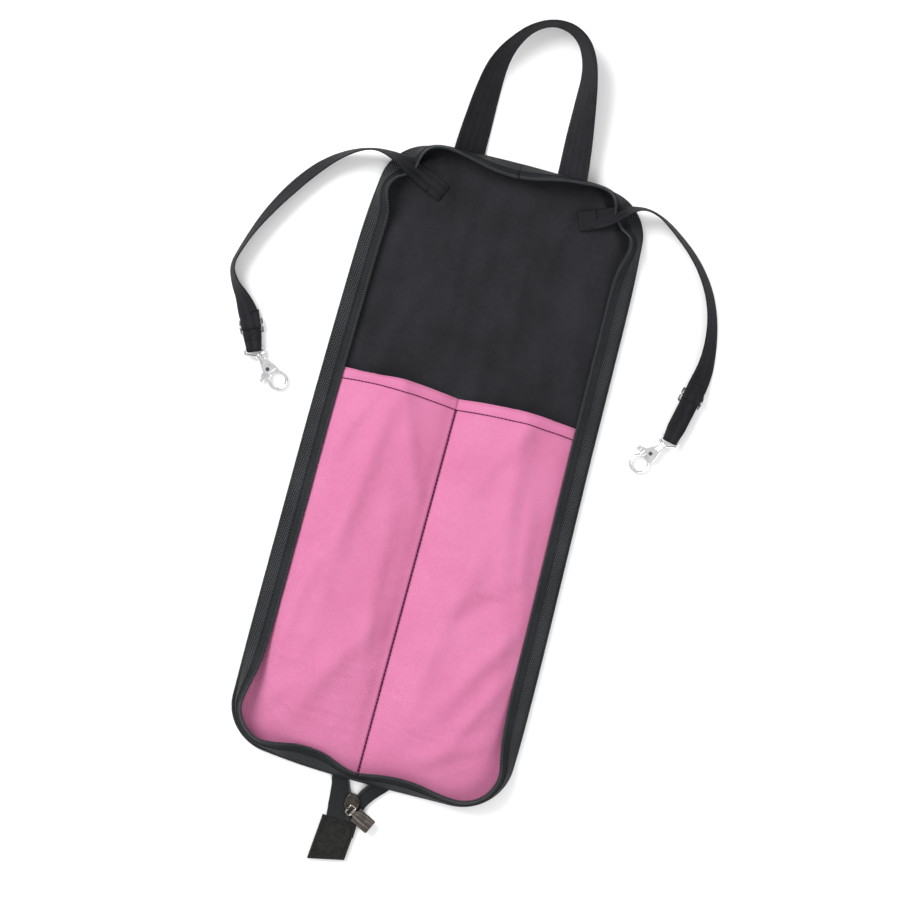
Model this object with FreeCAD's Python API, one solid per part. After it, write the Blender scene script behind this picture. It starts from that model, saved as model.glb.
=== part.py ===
import FreeCAD, Part
import math
import os

# A padded drum stick bag, unzipped and opened flat like a book.
# The origin is under the middle of the spine, on the face that the bag rests on. +X runs to the
# right half, +Y to the carry handle and +Z up. The two halves fold about lines beside the spine,
# at the height of the lining. All sizes are in millimetres.

V = FreeCAD.Vector
UP = V(0, 0, 1)

# Body panels
BODY_LENGTH = 480.0
TOP_HALF_WIDTH = 105.0
BOTTOM_HALF_WIDTH = 109.0
CORNER_RADIUS = 35.0
FOLD_X = 20.0            # each fold line is this far from the centre seam
FOLD_GAP = 0.5           # half of the gap between panels at a fold line
SHELL_TOP = 1.2
FOAM_TOP = 3.6
LINING_TOP = 4.2         # height of the fold axes
BINDING_WIDTH = 4.0

# Zipper
TAPE_WIDTH = 15.5
TAPE_THICKNESS = 1.0
TAPE_FOLD_CLEAR = 2.8    # tape and coil stop this far from a fold line
COIL_WIDTH = 2.0
COIL_HEIGHT = 1.4
COIL_END_Y = 196.0       # the coil stands on the tape up to the corners' curves
COIL_END_X = 66.0

# Pockets
POCKET_INNER_X = 23.0
POCKET_OUTER_X = 90.0
POCKET_HEIGHT = 17.0
POCKET_THICKNESS = 1.2
POCKET_MOUTH_Y = 55.0
POCKET_FULL_Y = -202.0   # below this the front slopes down to its bottom seam
POCKET_BOTTOM_Y = -223.6
POCKET_BOTTOM_OUTER_X = 79.0
POCKET_BOTTOM_HEIGHT = 1.6
HEM_WIDTH = 7.6
HEM_THICKNESS = 0.7
STITCH_WIDTH = 0.9
STITCH_HEIGHT = 0.4
STRIP_HALF_WIDTH = 19.0
STRIP_THICKNESS = 1.0

# Carry handle: x, y and width along its centre line, from the left leg to the right one
HANDLE_BOTTOM = 1.2
HANDLE_THICKNESS = 2.0
HANDLE_LINE = [
    (-41.0, 240.0, 25.0),
    (-40.5, 268.0, 22.5),
    (-39.0, 292.0, 19.0),
    (-34.5, 316.0, 15.0),
    (-24.0, 335.0, 11.0),
    (-8.0, 346.5, 9.0),
    (8.0, 347.0, 9.0),
    (21.0, 339.0, 10.0),
    (29.5, 323.0, 12.5),
    (33.5, 300.0, 16.0),
    (36.0, 272.0, 21.5),
    (39.5, 240.0, 24.5),
]

# Zipper tail with its slider, pull and leather tab
TAIL_BOTTOM = 2.0
TAIL_THICKNESS = 0.8
TAIL_CENTRE_X = 1.5
TAIL_GAP = 0.6           # half of the gap between the two tapes
TAIL_DROP_Y = -241.4     # the tapes come down from the panel between its edge and here
SLIDER_Y = -261.0
SLIDER_TRAVEL = 8.0
SLIDER_HALF_WIDTH = 5.5
SLIDER_HALF_LENGTH = 7.0
PLATE_THICKNESS = 1.1
LUG = (-1.5, -4.0)       # from the slider's middle to its lug
LUG_HEIGHT = 7.2         # height of the lug's hole, where the pull ring turns
PULL_HEADING = -26.0     # the way the pull points, counted from +X
RING_LENGTH = 4.6        # from the lug's hole to the pull tab's hole
RING_HALF_WIDTH = 3.7
RING_WIRE = 0.65
PULL_LENGTH = 16.0
PULL_WIDTH = 11.6
PULL_THICKNESS = 1.5
TAB_CORNERS = [(-17.6, -275.1), (9.6, -276.6), (7.3, -304.5), (-20.5, -310.5)]
TAB_BOTTOM = 0.4
TAB_TOP = 4.4
TAPE_END_Y = -288.0      # the tapes end inside the tab

# Straps
WEBBING_WIDTH = 15.0
WEBBING_THICKNESS = 1.4
STRAP_DIAMETER = 5.0     # the round stand-in for the strap's webbing
ANCHOR_LENGTH = 12.0
ANCHOR_HEIGHT = 5.2
JOIN = 1.0               # the strap's tube runs this far into the pieces at its ends
LOOP_HEIGHT = 4.75       # height of the hook's bar and of the tri-glide's middle bar
LOOP_RADIUS = 1.3        # inside radius of the webbing's fold
FOLD_HALF_WIDTH = 5.6    # half of the webbing's width where it is gathered round the bar
GATHER_LENGTH = 9.0
HEAD_START = -11.0       # the stitched head of the doubled webbing, before the tri-glide
HEAD_END = -6.8

# Each strap: its route from the lining over the bag's edge, the middle of its tri-glide and how
# far it slides, the heading and length of its doubled end, and the heading of its hook
STRAPS = {
    "left": {
        "route": [
            (-62.0, 207.5, 6.9),
            (-72.0, 212.0, 8.2),
            (-83.0, 216.0, 10.4),
            (-96.0, 220.4, 11.4),
            (-108.0, 221.6, 9.0),
            (-119.0, 218.8, 4.8),
            (-131.0, 212.6, 2.6),
            (-144.0, 202.4, 2.6),
            (-155.6, 188.6, 2.6),
            (-166.0, 173.2, 2.6),
            (-175.2, 157.0, 2.6),
            (-183.0, 140.2, 2.6),
            (-188.6, 123.6, 2.6),
            (-192.4, 109.0, 2.6),
            (-187.0, 96.6, 2.6),
            (-178.0, 85.0, 3.1),
            (-170.8, 76.4, 4.75),
        ],
        "glide": (-166.4, 68.2),
        "glide_travel": 6.0,
        "heading": -68.3,
        "length": 20.0,
        "hook_heading": -38.0,
    },
    "right": {
        "route": [
            (63.0, 213.6, 6.9),
            (73.4, 218.0, 8.2),
            (85.0, 225.4, 10.4),
            (97.0, 230.8, 11.2),
            (108.0, 229.4, 8.6),
            (119.0, 224.4, 4.6),
            (130.6, 216.8, 2.6),
            (142.6, 207.2, 2.6),
            (153.6, 195.2, 2.6),
            (162.8, 181.2, 2.6),
            (169.2, 165.6, 2.6),
            (172.8, 149.2, 2.6),
            (174.2, 133.4, 2.6),
            (173.8, 121.2, 3.1),
            (172.0, 112.2, 4.75),
        ],
        "glide": (169.9, 102.3),
        "glide_travel": 20.0,
        "heading": -101.8,
        "length": 37.5,
        "hook_heading": -126.8,
    },
}

# Snap hook, counted along its axis from the middle of its bar
HOOK_DROOP = 4.5         # degrees that the hook points down, to lie near the floor
BAR_RADIUS = 1.0
BAR_HALF = 7.4
ARM_LENGTH = 3.5         # the base's arms go this far on from the bar before they turn in
BARREL_START = 5.4
BARREL_END = 8.2
BARREL_RADIUS = 2.8
BODY_START = 8.6
SWIVEL_RADIUS = 1.2
SWIVEL_CLEAR = 0.08
SWIVEL_HEAD_RADIUS = 1.9
RIVET = (18.6, -1.0)
RIVET_RADIUS = 1.0
LEVER_CLEAR = 0.06
LEVER_THICKNESS = 1.4
SLOT_HALF = 0.85
CHEEK_HALF = 2.1
EYE_X = 29.9
EYE_RADIUS = 6.65
EYE_WIRE = 1.35
GATE_WIRE = 1.2
GATE_REACH = 12.0        # the gate's end is cut at this radius about the rivet
GATE_GAP = 0.3


# ---------------------------------------------------------------- helpers


def prism(points, z0, z1):
    """A straight-sided solid from plan points."""
    corners = [V(x, y, z0) for x, y in points]
    face = Part.Face(Part.makePolygon(corners + corners[:1]))
    return face.extrude(V(0, 0, z1 - z0))


def block(x0, x1, y0, y1, z0, z1):
    return Part.makeBox(x1 - x0, y1 - y0, z1 - z0, V(x0, y0, z0))


def rod(start, direction, radius, length):
    return Part.makeCylinder(radius, length, V(*start), V(*direction))


def mirrored(shape):
    return shape.mirror(V(0, 0, 0), V(1, 0, 0))


def placed(shape, origin, heading):
    """Moves a shape from its own frame: turned to its heading, then moved."""
    moved = shape.copy()
    moved.rotate(V(0, 0, 0), UP, heading)
    moved.translate(V(*origin))
    return moved


def rounded_wire(points, radius_at, closed=False):
    """Straight runs joined by tangent arcs; radius_at gives each corner's radius."""
    count = len(points)
    corners = range(count) if closed else range(1, count - 1)
    edges = []
    radii = []
    cuts = {}
    for i in corners:
        before = points[i - 1]
        at = points[i]
        after = points[(i + 1) % count]
        back = (before - at).normalize()
        ahead = (after - at).normalize()
        half_turn = (math.pi - back.getAngle(ahead)) / 2
        shorter = min((before - at).Length, (after - at).Length)
        radius = radius_at(shorter, half_turn)
        cut = radius * math.tan(half_turn)
        to_centre = (back + ahead).normalize()
        middle = at + to_centre * (radius / math.cos(half_turn) - radius)
        cuts[i] = (at + back * cut, middle, at + ahead * cut)
        radii.append(radius)
    if closed:
        here = cuts[count - 1][2]
    else:
        here = points[0]
    for i in corners:
        start, middle, end = cuts[i]
        edges.append(Part.LineSegment(here, start).toShape())
        edges.append(Part.Arc(start, middle, end).toShape())
        here = end
    if not closed:
        edges.append(Part.LineSegment(here, points[-1]).toShape())
    return Part.Wire(edges), radii


def swept(wire, radius):
    """A round section swept along a wire of runs and arcs."""
    first = wire.Edges[0]
    start = first.valueAt(first.FirstParameter)
    direction = first.tangentAt(first.FirstParameter)
    section = Part.Wire([Part.makeCircle(radius, start, direction)])
    return wire.makePipeShell([section], True, False)


# ---------------------------------------------------------------- body panels


def outline(inset, z0, z1):
    """The whole bag's outline, drawn in by inset, between two heights."""
    half = BODY_LENGTH / 2 - inset
    slope = (BOTTOM_HALF_WIDTH - TOP_HALF_WIDTH) / BODY_LENGTH
    top = TOP_HALF_WIDTH - inset + slope * inset
    bottom = BOTTOM_HALF_WIDTH - inset - slope * inset
    solid = prism([(-top, half), (top, half), (bottom, -half), (-bottom, -half)], z0, z1)
    upright = [e for e in solid.Edges if abs(e.Vertexes[0].Z - e.Vertexes[1].Z) > 0.01]
    return solid.makeFillet(CORNER_RADIUS - inset, upright)


def thirds(solid):
    """A solid cut at the two fold lines into left, spine and right pieces."""
    far = 400.0
    low, high = -far, far
    ranges = {
        "left": (-far, -FOLD_X - FOLD_GAP),
        "spine": (-FOLD_X + FOLD_GAP, FOLD_X - FOLD_GAP),
        "right": (FOLD_X + FOLD_GAP, far),
    }
    return {
        name: solid.common(block(x0, x1, low, high, -1, 60)) for name, (x0, x1) in ranges.items()
    }


def panels():
    """Outer shell, foam, edge binding and lining, each in three pieces."""
    layers = {
        "outer_shell": outline(0, 0, SHELL_TOP),
        "foam_pad": outline(BINDING_WIDTH, SHELL_TOP, FOAM_TOP),
        "edge_binding": outline(0, SHELL_TOP, FOAM_TOP).cut(
            outline(BINDING_WIDTH, SHELL_TOP, FOAM_TOP)
        ),
        "lining": outline(0, FOAM_TOP, LINING_TOP),
    }
    made = {}
    for layer, solid in layers.items():
        for name, piece in thirds(solid).items():
            made[f"{layer}_{name}"] = piece
    return made


# ---------------------------------------------------------------- zipper


def zipper_halves():
    """The sewn tapes round both halves, and the coil along their straight inner edges."""
    tape_top = LINING_TOP + TAPE_THICKNESS
    tape = outline(0, LINING_TOP, tape_top).cut(outline(TAPE_WIDTH, LINING_TOP, tape_top))
    coil_inset = TAPE_WIDTH - COIL_WIDTH
    coil_top = tape_top + COIL_HEIGHT
    coil = outline(coil_inset, tape_top, coil_top).cut(outline(TAPE_WIDTH, tape_top, coil_top))
    stop = FOLD_X + TAPE_FOLD_CLEAR
    half = block(stop, 150, -260, 260, 0, 30)
    beside = block(stop, 150, -COIL_END_Y, COIL_END_Y, 0, 30)
    ends = block(stop, COIL_END_X, -260, 260, 0, 30)
    right_tape = tape.common(half)
    right_coil = coil.common(beside.fuse(ends))
    spine = FOLD_X - TAPE_FOLD_CLEAR
    top_end = tape.fuse(coil).common(block(-spine, spine, 100, 260, 0, 30)).removeSplitter()
    return {
        "zipper_tape_right": right_tape,
        "zipper_tape_left": mirrored(right_tape),
        "zipper_coil_right": right_coil,
        "zipper_coil_left": mirrored(right_coil),
        "zipper_top_end": top_end,
    }


def tail_tape(side):
    """One tape of the tail: on the spine's bottom edge, down its face, then out to the tab."""
    inner = TAIL_CENTRE_X + side * TAIL_GAP
    edge = -BODY_LENGTH / 2
    band_end = FOLD_X - TAPE_FOLD_CLEAR
    reach = {-1: -4.5, 1: 7.0}[side]
    outer_end = {-1: -15.0, 1: 9.4}[side]
    outer_mid = {-1: -15.6, 1: 9.6}[side]
    top = LINING_TOP + TAPE_THICKNESS
    low_top = TAIL_BOTTOM + TAIL_THICKNESS
    near = min(side * band_end, reach)
    far = max(side * band_end, reach)
    band_low = min(side * band_end, TAIL_CENTRE_X + side)
    band_high = max(side * band_end, TAIL_CENTRE_X + side)
    band = block(band_low, band_high, edge, edge + TAPE_WIDTH, LINING_TOP, top)
    over = block(near, far, TAIL_DROP_Y, edge, LINING_TOP, top)
    drop = block(near, far, TAIL_DROP_Y, edge - 0.4, TAIL_BOTTOM, top)
    plan = [
        (reach, TAIL_DROP_Y),
        (inner, -255.0),
        (inner, TAPE_END_Y),
        (outer_end, TAPE_END_Y),
        (outer_mid, -264.0),
        (side * band_end, TAIL_DROP_Y),
    ]
    out = prism(plan, TAIL_BOTTOM, low_top)
    return band.fuse(over).fuse(drop).fuse(out).removeSplitter()


def tail_coil():
    """The two rows of coil beside the tail's gap, above the tapes."""
    bottom = TAIL_BOTTOM + TAIL_THICKNESS
    rows = []
    for side in (-1, 1):
        start = TAIL_CENTRE_X + side * TAIL_GAP
        x0 = min(start, start + side * COIL_WIDTH)
        rows.append(block(x0, x0 + COIL_WIDTH, -274.0, -255.0, bottom, bottom + 1.2))
    return Part.makeCompound(rows)


def lug_centre():
    return (TAIL_CENTRE_X + LUG[0], SLIDER_Y + LUG[1], LUG_HEIGHT)


def slider():
    """Two plates joined by a post that runs in the tail's gap, with side flanges and a lug."""
    low_top = TAIL_BOTTOM + TAIL_THICKNESS
    upper = low_top + 1.2 + 0.3
    lower = TAIL_BOTTOM - 0.3

    def oval(z0, z1):
        waist = SLIDER_HALF_LENGTH - SLIDER_HALF_WIDTH
        middle = block(-SLIDER_HALF_WIDTH, SLIDER_HALF_WIDTH, -waist, waist, z0, z1)
        ends = [
            Part.makeCylinder(SLIDER_HALF_WIDTH, z1 - z0, V(0, y, z0)) for y in (-waist, waist)
        ]
        return middle.fuse(ends).removeSplitter()

    top_plate = oval(upper, upper + PLATE_THICKNESS)
    rim = [e for e in top_plate.Edges if e.BoundBox.ZMin > upper + PLATE_THICKNESS - 0.01]
    top_plate = top_plate.makeFillet(0.5, rim)
    bottom_plate = oval(lower - PLATE_THICKNESS, lower)
    post = block(-0.4, 0.4, 0.6, 4.2, lower - 0.2, upper + 0.2)
    flange_bottom = low_top + 0.3
    ring = oval(flange_bottom, upper + 0.2)
    core = block(-SLIDER_HALF_WIDTH + 1.0, SLIDER_HALF_WIDTH - 1.0, -20, 20, 0, 30)
    flanges = ring.cut(core)
    lug_plate = block(-2.3, 2.3, -0.8, 0.8, upper + 0.3, LUG_HEIGHT)
    lug_round = rod((0, -0.8, LUG_HEIGHT), (0, 1, 0), 2.3, 1.6)
    lug_hole = rod((0, -2, LUG_HEIGHT), (0, 1, 0), 1.2, 4)
    lug = lug_plate.fuse(lug_round).cut(lug_hole)
    lug = placed(lug, (*LUG, 0), PULL_HEADING)
    shape = top_plate.fuse([bottom_plate, post, flanges, lug]).removeSplitter()
    return placed(shape, (TAIL_CENTRE_X, SLIDER_Y, 0), 0)


def pull_ring():
    """A wire ring, in the lug at its near bar and in the pull tab at its far one."""
    corners = [
        V(0, -RING_HALF_WIDTH, 0),
        V(RING_LENGTH, -RING_HALF_WIDTH, 0),
        V(RING_LENGTH, RING_HALF_WIDTH, 0),
        V(0, RING_HALF_WIDTH, 0),
    ]
    wire, _ = rounded_wire(corners, lambda shorter, half_turn: 1.2, closed=True)
    return placed(swept(wire, RING_WIRE), lug_centre(), PULL_HEADING)


def pull_tab():
    """A plate that tapers into a knuckle round the ring's far bar."""
    half = PULL_THICKNESS / 2
    knuckle = rod((RING_LENGTH, -2.4, 0), (0, 1, 0), 1.6, 4.8)
    plan = [
        (RING_LENGTH + 0.6, -2.4),
        (RING_LENGTH + 2.4, -2.4),
        (RING_LENGTH + 2.4, -PULL_WIDTH / 2),
        (RING_LENGTH + 1.8 + PULL_LENGTH, -PULL_WIDTH / 2),
        (RING_LENGTH + 1.8 + PULL_LENGTH, PULL_WIDTH / 2),
        (RING_LENGTH + 2.4, PULL_WIDTH / 2),
        (RING_LENGTH + 2.4, 2.4),
        (RING_LENGTH + 0.6, 2.4),
    ]
    plate = prism(plan, -half, half)
    corners = [
        e
        for e in plate.Edges
        if abs(e.Vertexes[0].Z - e.Vertexes[1].Z) > 0.01
        and abs(e.Vertexes[0].Y) > PULL_WIDTH / 2 - 0.01
    ]
    plate = plate.makeFillet(0.8, corners)
    hole = rod((RING_LENGTH, -4, 0), (0, 1, 0), RING_WIRE + 0.25, 8)
    shape = plate.fuse(knuckle).cut(hole).removeSplitter()
    return placed(shape, lug_centre(), PULL_HEADING)


def leather_tab():
    """A folded leather tab with a slot that holds the ends of both tapes."""
    solid = prism(TAB_CORNERS, TAB_BOTTOM, TAB_TOP)
    slot = block(
        -15.4, 9.8, TAPE_END_Y - 0.4, -270, TAIL_BOTTOM - 0.1, TAIL_BOTTOM + TAIL_THICKNESS + 0.1
    )
    return solid.cut(slot)


def tab_stitching():
    """A row of thread across the tab, where it is sewn through the tapes."""
    line = [(-16.4, -279.0), (8.2, -280.4), (8.0, -281.4), (-16.8, -280.0)]
    return prism(line, TAB_TOP, TAB_TOP + STITCH_HEIGHT)


# ---------------------------------------------------------------- pockets


def arch_wire(x0, x1, height, y):
    """A low arch over the lining, closed by its chord, at one place along the bag."""
    left = V(x0, y, LINING_TOP)
    right = V(x1, y, LINING_TOP)
    crown = V((x0 + x1) / 2, y, LINING_TOP + height)
    return Part.Wire([Part.Arc(left, crown, right).toShape(), Part.LineSegment(right, left).toShape()])


def arch_prism(x0, x1, height, y0, y1):
    return Part.Face(arch_wire(x0, x1, height, y0)).extrude(V(0, y1 - y0, 0))


def arch_slope(start, end):
    return Part.makeLoft([arch_wire(*start), arch_wire(*end)], True, True)


def pocket_right():
    """An arched front, open at its mouth, that slopes down to the bottom seam."""
    t = POCKET_THICKNESS
    x0 = POCKET_INNER_X
    x1 = POCKET_OUTER_X
    outer = arch_prism(x0, x1, POCKET_HEIGHT, POCKET_FULL_Y, POCKET_MOUTH_Y).fuse(
        arch_slope(
            (x0, x1, POCKET_HEIGHT, POCKET_FULL_Y),
            (x0, POCKET_BOTTOM_OUTER_X, POCKET_BOTTOM_HEIGHT, POCKET_BOTTOM_Y),
        )
    )
    hollow = arch_prism(
        x0 + 2 * t, x1 - 2 * t, POCKET_HEIGHT - t, POCKET_FULL_Y, POCKET_MOUTH_Y + 5
    ).fuse(
        arch_slope(
            (x0 + 2 * t, x1 - 2 * t, POCKET_HEIGHT - t, POCKET_FULL_Y),
            (x0 + 2 * t, POCKET_BOTTOM_OUTER_X - 2 * t, 0.5, POCKET_BOTTOM_Y + 2),
        )
    )
    return outer.cut(hollow).removeSplitter()


def band_over_pocket(thickness, y0, y1):
    """A strip that follows the outside of the right pocket's arch."""
    x0 = POCKET_INNER_X
    x1 = POCKET_OUTER_X
    outside = arch_prism(x0 - 0.5, x1 + 0.5, POCKET_HEIGHT + thickness, y0, y1)
    return outside.cut(arch_prism(x0, x1, POCKET_HEIGHT, y0 - 1, y1 + 1))


def pockets():
    front = pocket_right()
    hem = band_over_pocket(HEM_THICKNESS, POCKET_MOUTH_Y - HEM_WIDTH, POCKET_MOUTH_Y)
    stitch_y = POCKET_MOUTH_Y - HEM_WIDTH - STITCH_WIDTH
    stitching = band_over_pocket(STITCH_HEIGHT, stitch_y, stitch_y + STITCH_WIDTH)
    strip_top = LINING_TOP + STRIP_THICKNESS
    strip = block(
        -STRIP_HALF_WIDTH, STRIP_HALF_WIDTH, POCKET_BOTTOM_Y, POCKET_MOUTH_Y, LINING_TOP, strip_top
    )
    seam = block(
        -STITCH_WIDTH / 2,
        STITCH_WIDTH / 2,
        POCKET_BOTTOM_Y,
        stitch_y,
        strip_top,
        strip_top + STITCH_HEIGHT,
    )
    return {
        "pocket_front_right": front,
        "pocket_front_left": mirrored(front),
        "pocket_hem_right": hem,
        "pocket_hem_left": mirrored(hem),
        "hem_stitching_right": stitching,
        "hem_stitching_left": mirrored(stitching),
        "pocket_centre_strip": strip,
        "centre_stitching": seam,
    }


# ---------------------------------------------------------------- handle


def handle():
    """A flat band that bends from one leg to the other, cut at the two fold lines."""
    line = Part.BSplineCurve()
    line.interpolate([V(x, y, HANDLE_BOTTOM) for x, y, _ in HANDLE_LINE])
    sides = {-1: [], 1: []}
    last = len(HANDLE_LINE) - 1
    for i, (x, y, width) in enumerate(HANDLE_LINE):
        at = V(x, y, HANDLE_BOTTOM)
        along = line.tangent(line.parameter(at))[0]
        if i == 0:
            along = V(0, 1, 0)
        if i == last:
            along = V(0, -1, 0)
        across = UP.cross(along).normalize()
        for side in sides:
            sides[side].append(at + across * (side * width / 2))
    edges = []
    for points in sides.values():
        curve = Part.BSplineCurve()
        curve.interpolate(points)
        edges.append(curve.toShape())
    edges.append(Part.LineSegment(sides[-1][0], sides[1][0]).toShape())
    edges.append(Part.LineSegment(sides[-1][-1], sides[1][-1]).toShape())
    face = Part.Face(Part.Wire(Part.__sortEdges__(edges)))
    band = face.extrude(V(0, 0, HANDLE_THICKNESS))
    pieces = thirds(band)
    return {
        "handle_left": pieces["left"],
        "handle_apex": pieces["spine"],
        "handle_right": pieces["right"],
    }


# ---------------------------------------------------------------- straps


def strap_tube(side):
    """The free strap's stand-in: runs and arcs, with each arc as large as its runs allow."""
    points = [V(*p) for p in STRAPS[side]["route"]]
    wire, radii = rounded_wire(
        points, lambda shorter, half_turn: 0.45 * shorter / math.tan(half_turn)
    )
    tube = swept(wire, STRAP_DIAMETER / 2)
    section = math.pi * STRAP_DIAMETER**2 / 4
    print(f"strap_{side}: length {wire.Length:.1f}, volume {tube.Volume:.0f}, "
          f"section x length {section * wire.Length:.0f}")
    print(f"strap_{side} radii: " + " ".join(f"{r:.0f}" for r in radii))
    return tube


def strap_anchor(side):
    """The strap's folded, stitched end on the lining."""
    start = V(*STRAPS[side]["route"][0])
    second = V(*STRAPS[side]["route"][1])
    heading = math.degrees(math.atan2(second.y - start.y, second.x - start.x))
    half = WEBBING_WIDTH / 2
    patch = block(-ANCHOR_LENGTH + JOIN, JOIN, -half, half, 0, ANCHOR_HEIGHT)
    return placed(patch, (start.x, start.y, LINING_TOP), heading)


def strap_keeper(side):
    """The strap's doubled end: a stitched head, two layers, and a fold round the hook's bar."""
    strap = STRAPS[side]
    end = strap["length"]
    half = WEBBING_WIDTH / 2
    outside = LOOP_RADIUS + WEBBING_THICKNESS
    turn = end - outside
    gathered = end - GATHER_LENGTH
    plan = [
        (HEAD_END, -half),
        (gathered - 5.0, -half),
        (gathered, -FOLD_HALF_WIDTH),
        (turn, -FOLD_HALF_WIDTH),
        (turn, FOLD_HALF_WIDTH),
        (gathered, FOLD_HALF_WIDTH),
        (gathered - 5.0, half),
        (HEAD_END, half),
    ]
    width = 2 * FOLD_HALF_WIDTH
    bend = rod((turn, -FOLD_HALF_WIDTH, 0), (0, 1, 0), outside, width)
    bend = bend.cut(rod((turn, -half, 0), (0, 1, 0), LOOP_RADIUS, WEBBING_WIDTH))
    bend = bend.cut(block(turn - 10, turn, -half, half, -10, 10))
    shape = block(HEAD_START, HEAD_END, -half, half, -outside, outside).fuse(
        [prism(plan, -outside, -LOOP_RADIUS), prism(plan, LOOP_RADIUS, outside), bend]
    )
    return placed(shape.removeSplitter(), (*strap["glide"], LOOP_HEIGHT), strap["heading"])


def tri_glide(side):
    """A bent wire frame under the doubled webbing, with its middle bar between the layers."""
    strap = STRAPS[side]
    low = 0.95 - LOOP_HEIGHT
    reach = 5.0
    half = 8.6
    corners = [
        V(-reach, -half, low),
        V(0, -half - 0.3, 0),
        V(reach, -half, low),
        V(reach, half, low),
        V(0, half + 0.3, 0),
        V(-reach, half, low),
    ]
    wire, _ = rounded_wire(corners, lambda shorter, half_turn: 1.0, closed=True)
    frame = swept(wire, 0.8)
    bar = rod((0, -half - 0.3, 0), (0, 1, 0), 0.9, 2 * half + 0.6)
    return placed(frame.fuse(bar), (*strap["glide"], LOOP_HEIGHT), strap["heading"])


# ---------------------------------------------------------------- snap hooks


def hook_turn(side):
    """The angle from the doubled webbing's heading to the hook's, in degrees."""
    return STRAPS[side]["hook_heading"] - STRAPS[side]["heading"]


def bar_centre(side):
    """The middle of the hook's bar, in the fold of the doubled webbing."""
    strap = STRAPS[side]
    heading = math.radians(strap["heading"])
    reach = strap["length"] - LOOP_RADIUS - WEBBING_THICKNESS
    x, y = strap["glide"]
    return V(x + reach * math.cos(heading), y + reach * math.sin(heading), LOOP_HEIGHT)


def hook_placement(side):
    """From the hook's own frame to the bag's: tipped about the bar, turned and moved."""
    turn = math.radians(hook_turn(side))
    bar = V(math.sin(turn), math.cos(turn), 0)
    tipped = FreeCAD.Rotation(bar, HOOK_DROOP)
    turned = FreeCAD.Rotation(UP, STRAPS[side]["hook_heading"])
    return FreeCAD.Placement(bar_centre(side), turned.multiply(tipped))


def hook_base(side):
    """A wire loop with the bar across the webbing, and the barrel with the swivel pin."""
    turn = math.radians(hook_turn(side))
    across = V(math.sin(turn), math.cos(turn), 0)
    ahead = V(math.cos(turn), -math.sin(turn), 0)
    corners = [
        V(BARREL_START + 1.3, 1.9, 0),
        across * BAR_HALF + ahead * ARM_LENGTH,
        across * BAR_HALF,
        across * -BAR_HALF,
        across * -BAR_HALF + ahead * ARM_LENGTH,
        V(BARREL_START + 1.3, -1.9, 0),
    ]
    wire, _ = rounded_wire(corners, lambda shorter, half_turn: 1.1)
    loop = swept(wire, BAR_RADIUS)
    barrel = rod((BARREL_START, 0, 0), (1, 0, 0), BARREL_RADIUS, BARREL_END - BARREL_START)
    barrel = barrel.makeFillet(0.6, [e for e in barrel.Edges if e.BoundBox.XLength < 0.01])
    stem = rod((BARREL_END - 0.5, 0, 0), (1, 0, 0), SWIVEL_RADIUS, 3.0)
    head = rod((BARREL_END + 2.3, 0, 0), (1, 0, 0), SWIVEL_HEAD_RADIUS, 1.4)
    return loop.fuse([barrel, stem, head]).removeSplitter()


def eye_ring(wire_radius, first, last):
    """Part of the eye's ring, between two angles about the eye's centre."""
    ring = Part.makeTorus(EYE_RADIUS, wire_radius, V(0, 0, 0), UP, -180, 180, last - first)
    ring.rotate(V(0, 0, 0), UP, first)
    ring.translate(V(EYE_X, 0, 0))
    return ring


def hook_body():
    """Neck with the swivel's socket, two cheeks with the lever's slot, and the claw."""
    x = BODY_START
    cheek_plan = [
        (x + 2.0, 2.8),
        (x + 5.8, 3.8),
        (x + 11.3, 5.4),
        (x + 13.5, 5.2),
        (x + 13.5, -2.4),
        (x + 16.3, -3.2),
        (x + 16.3, -5.6),
        (x + 12.3, -6.2),
        (x + 5.8, -4.2),
        (x + 2.0, -2.8),
    ]
    cheeks = prism(cheek_plan, -CHEEK_HALF, CHEEK_HALF)
    cheeks = cheeks.makeFillet(0.6, [e for e in cheeks.Edges if e.BoundBox.ZLength < 0.01])
    neck = rod((x, 0, 0), (1, 0, 0), 3.0, 4.6)
    claw = eye_ring(EYE_WIRE, -165, 125)
    sweep = Part.makeCylinder(GATE_REACH + GATE_GAP, 10, V(*RIVET, -5))
    gate_side = block(x + 5, x + 30, 0.5, 20, -10, 10)
    claw = claw.cut(sweep.common(gate_side))
    inside = Part.makeCylinder(EYE_RADIUS - EYE_WIRE, 10, V(EYE_X, 0, -5))
    solid = cheeks.cut(inside).fuse([neck, claw])
    slot = block(x + 5.5, x + 15.2, -9, 9, -SLOT_HALF, SLOT_HALF)
    socket = rod((x - 0.5, 0, 0), (1, 0, 0), SWIVEL_RADIUS + SWIVEL_CLEAR, 3.0)
    chamber = rod((x + 1.6, 0, 0), (1, 0, 0), SWIVEL_HEAD_RADIUS + 0.2, 2.1)
    rivet_hole = Part.makeCylinder(RIVET_RADIUS, 10, V(*RIVET, -5))
    return solid.cut([slot, socket, chamber, rivet_hole]).removeSplitter()


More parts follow.
